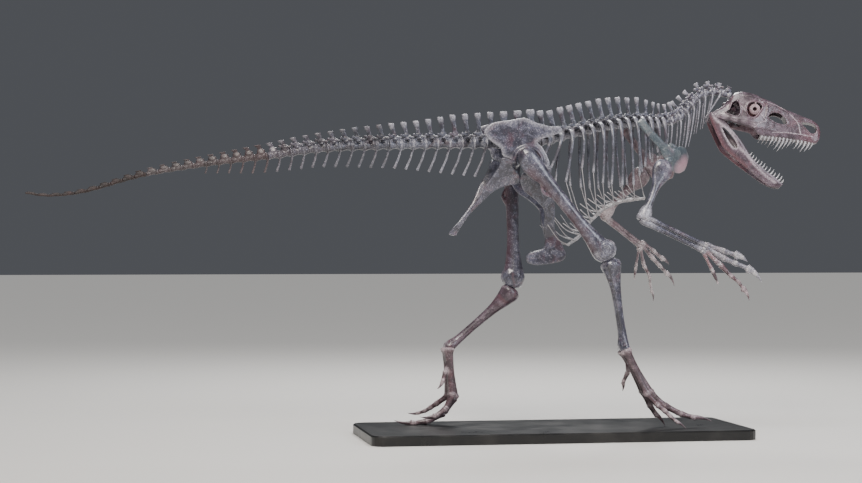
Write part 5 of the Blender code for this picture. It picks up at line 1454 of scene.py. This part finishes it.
# %% Hips
for name, side in SIDES:
    clay = bmesh.new()
    flat_bone(clay, ILIUM_OUTLINE)
    # The thick rim over the socket
    rim = []
    reach = SOCKET_RADIUS + 0.006
    for turn in range(-8, 200, 16):
        t = math.radians(turn)
        rim.append(Vector((HIP[0] + reach * math.cos(t), side * 0.004, HIP[2] + reach * math.sin(t))))
    tube(clay, rim, [(0.0115, 0.0068)] * len(rim), 12, steps=2)
    piece("hip_blade_" + name, clay, SLATE, ("ilium_" + name,), 0.0019, smooth=5,
          uneven=0.0010, shape=moved_out(side, pressed(0.78, 0.05)),
          wiped=outline_marks(ILIUM_OUTLINE, side, 0.016, 0.75))
    clay = bmesh.new()
    flat_bone(clay, PUBIS_OUTLINE)
    seam = [Vector((HIP[0] + x, side * HIP[1], HIP[2] + z)) for x, z in PUBIS_SEAM]
    piece("hip_pubis_" + name, clay, SLATE, ("pubis_" + name,), 0.0019, smooth=5,
          uneven=0.0010, shape=leaned(PUBIS_LEAN, side, pressed(0.92, 0.06)),
          wiped=near(spots_along(seam), 0.008))
    clay = bmesh.new()
    flat_bone(clay, ISCHIUM_OUTLINE)
    piece("hip_ischium_" + name, clay, SLATE, ("ischium_" + name,), 0.0019, smooth=5,
          uneven=0.0010, shape=leaned(ISCHIUM_LEAN, side, pressed(0.92, 0.06)))

# %% [markdown]
# The thigh bone ends in two condyles with a groove between, like a pulley. The
# shin carries a thin splint bone beside it, and three long foot bones follow.

# %% Legs
FEMUR_LENGTH, TIBIA_LENGTH, FOOT_LENGTH = 0.390, 0.278, 0.152
LEG_TOP = (-0.098, 0.118, 0.838)
LEG_POSE = {
    RIGHT: ((-50.1, -2.0), (-80.3, 0.5), (-58.7, 0.5)),
    LEFT: ((-89.2, -2.0), (-138.3, 0.5), (-82.0, 0.5))}
FEMUR_SHAPE = (
    (-0.07, 0.012, 0.016), (-0.02, 0.019, 0.028), (0.10, 0.020, 0.027), (0.26, 0.018, 0.021),
    (0.60, 0.017, 0.0185), (0.76, 0.020, 0.023), (0.86, 0.025, 0.030), (0.93, 0.026, 0.034),
    (0.985, 0.022, 0.026))
TIBIA_SHAPE = (
    (0.035, 0.023, 0.028), (0.075, 0.026, 0.032), (0.13, 0.023, 0.028), (0.22, 0.018, 0.022),
    (0.36, 0.0145, 0.0155), (0.62, 0.0125, 0.0125), (0.84, 0.014, 0.0135), (0.94, 0.022, 0.017),
    (0.99, 0.024, 0.017))
TIBIA_FORWARD = (0.002, 0.003, 0.004, 0.005, 0.005, 0.003, 0.002, 0.0, 0.0)
CONDYLE_PLACE, CONDYLE_RADIUS = {RIGHT: (-0.029, 0.007), LEFT: (-0.032, -0.005)}, 0.034
FIBULA_SHAPE = (
    (0.06, 0.0060, 0.0140), (0.16, 0.0048, 0.0100), (0.35, 0.0038, 0.0060),
    (0.80, 0.0034, 0.0050), (0.95, 0.0050, 0.0080))
FIBULA_OFFSET = (0.0285, 0.0240, 0.0200, 0.0185, 0.0245)
TROCHANTER = (0.20, 0.36, 0.030)         # from and to along the thigh bone, and how far it stands out
# Place along the thigh bone, and how far back, of the ridge below the hip joint
FLANGE = ((-0.02, 0.020), (0.05, 0.027), (0.13, 0.024), (0.22, 0.014))
GROWTH_RINGS = (0.011, 0.019, 0.026)     # their radii


def leg_joints(side):
    """Hip, knee, ankle, and the ball of the foot."""
    joints = [on_side(LEG_TOP, side)]
    for length, (pitch, splay) in zip((FEMUR_LENGTH, TIBIA_LENGTH, FOOT_LENGTH), LEG_POSE[side]):
        joints.append(joints[-1] + length * direction(pitch, splay, side))
    return joints


def arc(centre, radius, down, ahead, degrees):
    """Points round a knuckle, seen from its side; 0 degrees is along the bone."""
    return [centre + radius * (math.cos(t) * down + math.sin(t) * ahead)
            for t in [math.radians(a) for a in degrees]]


for name, side in SIDES:
    top, knee, ankle, ball = leg_joints(side)
    down = (knee - top).normalized()
    ahead = ahead_of(down)
    outward = Vector((0, side, 0))
    clay = bmesh.new()
    shaft(clay, top, knee, FEMUR_SHAPE, 22)
    tube(clay, (top, top - 0.024 * outward, top - 0.044 * outward),
         ((0.021, 0.021), (0.025, 0.025), (0.018, 0.018)), 16, across=(1, 0, 0))
    start, end, height = TROCHANTER
    crest = [top.lerp(knee, t) - h * ahead for t, h in
             ((start, 0.4 * height), ((start + end) / 2, height), (end, 0.4 * height))]
    tube(clay, crest, ((0.004, 0.006), (0.003, 0.005), (0.004, 0.006)), 10)
    flange = [top.lerp(knee, t) - h * ahead for t, h in FLANGE]
    tube(clay, flange, ((0.010, 0.010), (0.012, 0.009), (0.010, 0.008), (0.006, 0.006)), 12)
    centre = knee + CONDYLE_PLACE[side][0] * down + CONDYLE_PLACE[side][1] * ahead
    for way in (-1, 1):
        lump(clay, centre + way * 0.0145 * outward, (CONDYLE_RADIUS, 0.0135, CONDYLE_RADIUS), down)
    # Growth rings on the outer face of the knuckle
    for radius in GROWTH_RINGS:
        middle = centre + (0.0275 - 6.5 * radius ** 2) * outward
        ring = arc(middle, radius, down, ahead, range(0, 361, 24))
        tube(clay, ring, [(0.0016, 0.0016)] * len(ring), 8, steps=1, tips=False)
    seam = arc(centre, 1.02 * CONDYLE_RADIUS, down, ahead, range(-100, 101, 10))
    # The hind face of the thigh bone is rosier and a little darker: partly the cast's rose stain, partly
    # painted shade on the side turned from the light
    hind_face_stain_and_shade = spots_along([top.lerp(knee, t) - 0.02 * ahead for t in (0.1, 0.85)], 0.01)
    piece("thigh_" + name, clay, SLATE, ("femur_" + name,), 0.0019, smooth=4, uneven=0.0012,
          wiped=either(near(seam + [p + 0.02 * outward for p in seam], 0.014, 0.9),
                       near([centre + 0.026 * outward], 0.030, 0.25)),
          flushed=near(hind_face_stain_and_shade, 0.028, 0.75))
    clay = bmesh.new()
    shin = (ankle - knee).normalized()
    fore = ahead_of(shin)
    shaft(clay, knee, ankle, TIBIA_SHAPE, 22, offsets=[o * fore for o in TIBIA_FORWARD])
    lump(clay, knee + 0.026 * shin + 0.022 * fore, (0.020, 0.010, 0.012), shin)
    for way in (-1, 1):
        lump(clay, ankle - 0.005 * shin + way * 0.012 * outward, (0.013, 0.012, 0.017), shin)
    upper_end = [knee + 0.016 * shin + s * fore for s in (-0.03, -0.015, 0.0, 0.015, 0.03)]
    lower_end = [ankle, ankle + 0.014 * fore, ankle - 0.014 * fore]
    piece("shin_" + name, clay, SLATE if side == RIGHT else MAUVE, ("tibia_" + name,),
          0.0018, smooth=4, wiped=either(near(upper_end, 0.019, 1.1), near(lower_end, 0.022, 1.2)))
    clay = bmesh.new()
    shaft(clay, knee, ankle, FIBULA_SHAPE, 14, offsets=[o * outward for o in FIBULA_OFFSET])
    piece("shin_splint_" + name, clay, SLATE, ("fibula_" + name,), 0.0012, smooth=3,
          uneven=0.0004)

# %% [markdown]
# Three long bones stand side by side over the toes, and a small first toe hangs
# behind them on a thin splint. Toes are pressed flat where they would sink into
# the base.

# %% Feet
FOOT_BONES = (
    (2, 0.142, 0.015, 0.022, 0.010, 0.0125), (3, 0.152, 0.000, 0.000, 0.000, 0.0140),
    (4, 0.146, -0.015, -0.022, 0.014, 0.0125))
# Place along a foot bone, then its half width and half depth as shares of its size
FOOT_BONE_SHAPE = ((0.0, 1.0, 1.45), (0.05, 1.0, 1.50), (0.14, 0.8, 1.1), (0.5, 0.66, 0.80),
                   (0.88, 0.88, 0.90), (0.98, 0.95, 1.0))
TOES = (
    (1, (0.034, 0.032), 0.0080), (2, (0.046, 0.036, 0.054), 0.0115),
    (3, (0.056, 0.058, 0.042, 0.066), 0.0135), (4, (0.044, 0.028, 0.021, 0.026, 0.042), 0.0110))
TOE_PITCH = {
    RIGHT: ((-112, -88), (-62, -55, -46), (-41, -27, -17, -9), (-46, -40, -46, -42, -36)),
    LEFT: ((-108, -128), (-116, -146, -174), (-124, -153, -176, -185), (-140, -142, -142, -158, -176))}
TOE_TURN = {RIGHT: (-14, -9, 0, 11), LEFT: (-14, -5, 0, 32)}
TOE_CURL = 34.0
HALLUX_PLACE = (0.44, 0.022, 0.020)
BASE_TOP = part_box("stand_base")[1].z


def above_base(p):
    """Presses a toe flat where it would sink into the base."""
    p.z = max(p.z, BASE_TOP + 0.0003)
    return p


for name, side in SIDES:
    ankle, ball = leg_joints(side)[2:]
    down = (ball - ankle).normalized()
    inward = Vector((0, -side, 0))
    behind = -ahead_of(down)
    foot, ends = bmesh.new(), {}
    for number, length, upper_in, lower_in, back, size in FOOT_BONES:
        begin = ankle + upper_in * inward
        end = ankle + length * down + lower_in * inward + back * behind
        shaft(foot, begin, end, [(t, w * size, d * size) for t, w, d in FOOT_BONE_SHAPE], 16)
        for way in (-1, 1):
            lump(foot, end - 0.2 * size * down + way * 0.5 * size * inward,
                 (0.80 * size, 0.46 * size, 1.08 * size), down)
        ends[number] = end
    share, across, back = HALLUX_PLACE
    ends[1] = ankle + share * FOOT_LENGTH * down + across * inward + back * behind
    # The thin splint that carries the small first toe
    splint_top = ankle + 0.10 * FOOT_LENGTH * down + 0.014 * inward
    tube(foot, (splint_top, ends[1]), ((0.003, 0.003), (0.006, 0.006)), 10)
    for (number, lengths, size), pitches, turn in zip(TOES, TOE_PITCH[side], TOE_TURN[side]):
        toe = bmesh.new()
        joints = digit(toe, ends[number], lengths, pitches, turn, side, size, TOE_CURL)
        piece("toe_bones_%d_%s" % (number, name), toe, ROSE, ("toe_%d_%s" % (number, name),),
              0.0011, smooth=3, uneven=0.0004, keep=0.45, shape=above_base,
              wiped=near(joints, 0.0130, 1.8))
    rims = [ankle + across * inward + deep * behind
            for across in (-0.015, 0.0, 0.015) for deep in (-0.014, 0.0, 0.014)]
    piece("foot_bones_" + name, foot, ROSE, ("metatarsus_" + name,), 0.0015, smooth=3,
          uneven=0.0006, wiped=either(near(rims, 0.016, 1.7), near(list(ends.values()), 0.017, 1.6)))

# %% [markdown]
# The base is a board sprayed with black satin lacquer. The solid already has
# its true shape, so it stays and only takes the finish: near black, a soft
# shine, the faint orange peel of sprayed lacquer and a trace of dust.

# %% The base
lacquer = bpy.data.materials.new("black_satin_lacquer")
lacquer.use_nodes = True
tree = lacquer.node_tree
shader = tree.nodes["Principled BSDF"]
place = add(tree, "TexCoord").outputs["Object"]
dust = add(tree, "TexNoise", {"Vector": place, "Scale": 1 / (90 * MM), "Detail": 6.0,
                              "Roughness": 0.65}).outputs["Fac"]
dust_edge = add(tree, "MapRange", {"Value": dust, "From Min": 0.45, "From Max": 0.75, "To Max": 0.20},
                interpolation_type=SMOOTH).outputs["Result"]
dusty = add(tree, "Mix", {FACTOR: dust_edge, FIRST: linear("#151515"), SECOND: linear("#55514d")},
            data_type="RGBA").outputs[RESULT]
tree.links.new(dusty, shader.inputs["Base Color"])
satin = add(tree, "MapRange", {"Value": dust, "From Min": 0.3, "From Max": 0.7, "To Min": 0.26,
                               "To Max": 0.42}).outputs["Result"]
tree.links.new(satin, shader.inputs["Roughness"])
peel = add(tree, "TexNoise", {"Vector": place, "Scale": 1 / (4 * MM), "Detail": 2.0}).outputs["Fac"]
bump = add(tree, "Bump", {"Height": peel, "Strength": 0.12, "Distance": 0.15 * MM}).outputs["Normal"]
tree.links.new(bump, shader.inputs["Normal"])
shader.inputs["IOR"].default_value = 1.50
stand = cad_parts["stand_base"]
stand.data.materials.clear()
stand.data.materials.append(lacquer)
print("base top at", round(BASE_TOP, 4))

# %% [markdown]
# Studio: a pale floor, a big soft key from the front and above, a little to the
# left, a weaker fill from the front right and a light behind for the edges.
# Large area lights give the broad soft highlights that a varnished cast shows,
# and a wide soft sun keeps the floor even to the horizon.

# %% Floor and light
floor_mesh = bpy.data.meshes.new("floor")
bm = bmesh.new()
bmesh.ops.create_grid(bm, x_segments=1, y_segments=1, size=30)
bm.to_mesh(floor_mesh)
bm.free()
floor = bpy.data.objects.new("floor", floor_mesh)
bpy.context.scene.collection.objects.link(floor)
pale = bpy.data.materials.new("pale_studio_floor")
pale.use_nodes = True
pale.node_tree.nodes["Principled BSDF"].inputs["Base Color"].default_value = linear("#d9d7d3")
pale.node_tree.nodes["Principled BSDF"].inputs["Roughness"].default_value = 0.9
floor_mesh.materials.append(pale)


def area_light(name, place, aim, size, watts, colour):
    """A square lamp of some size in metres, aimed at a point."""
    light = bpy.data.objects.new(name, bpy.data.lights.new(name, "AREA"))
    bpy.context.scene.collection.objects.link(light)
    light.location = place
    light.rotation_euler = (Vector(aim) - Vector(place)).to_track_quat("-Z", "Y").to_euler()
    light.data.size = size
    light.data.energy = watts
    light.data.color = linear(colour)[:3]


area_light("key", (-0.6, -3.2, 3.5), (-0.3, 0, 0.7), 1.4, 160, "#fff6ec")
area_light("fill", (2.8, -3.0, 2.2), (0.0, 0, 0.7), 1.8, 85, "#eef3ff")
area_light("rim", (0.6, 2.6, 3.2), (-0.2, 0, 0.8), 1.4, 110, "#ffffff")
sun = bpy.data.objects.new("sky_panel", bpy.data.lights.new("sky_panel", "SUN"))
bpy.context.scene.collection.objects.link(sun)
sun.rotation_euler = (math.radians(24), math.radians(-14), 0)
sun.data.energy = 1.7
sun.data.angle = math.radians(28)
world = bpy.data.worlds.new("studio")
bpy.context.scene.world = world
world.use_nodes = True
world.node_tree.nodes["Background"].inputs["Color"].default_value = linear("#b9bdc6")
world.node_tree.nodes["Background"].inputs["Strength"].default_value = 0.17
print(sum(made.values()), "triangles in", len(made), "pieces")
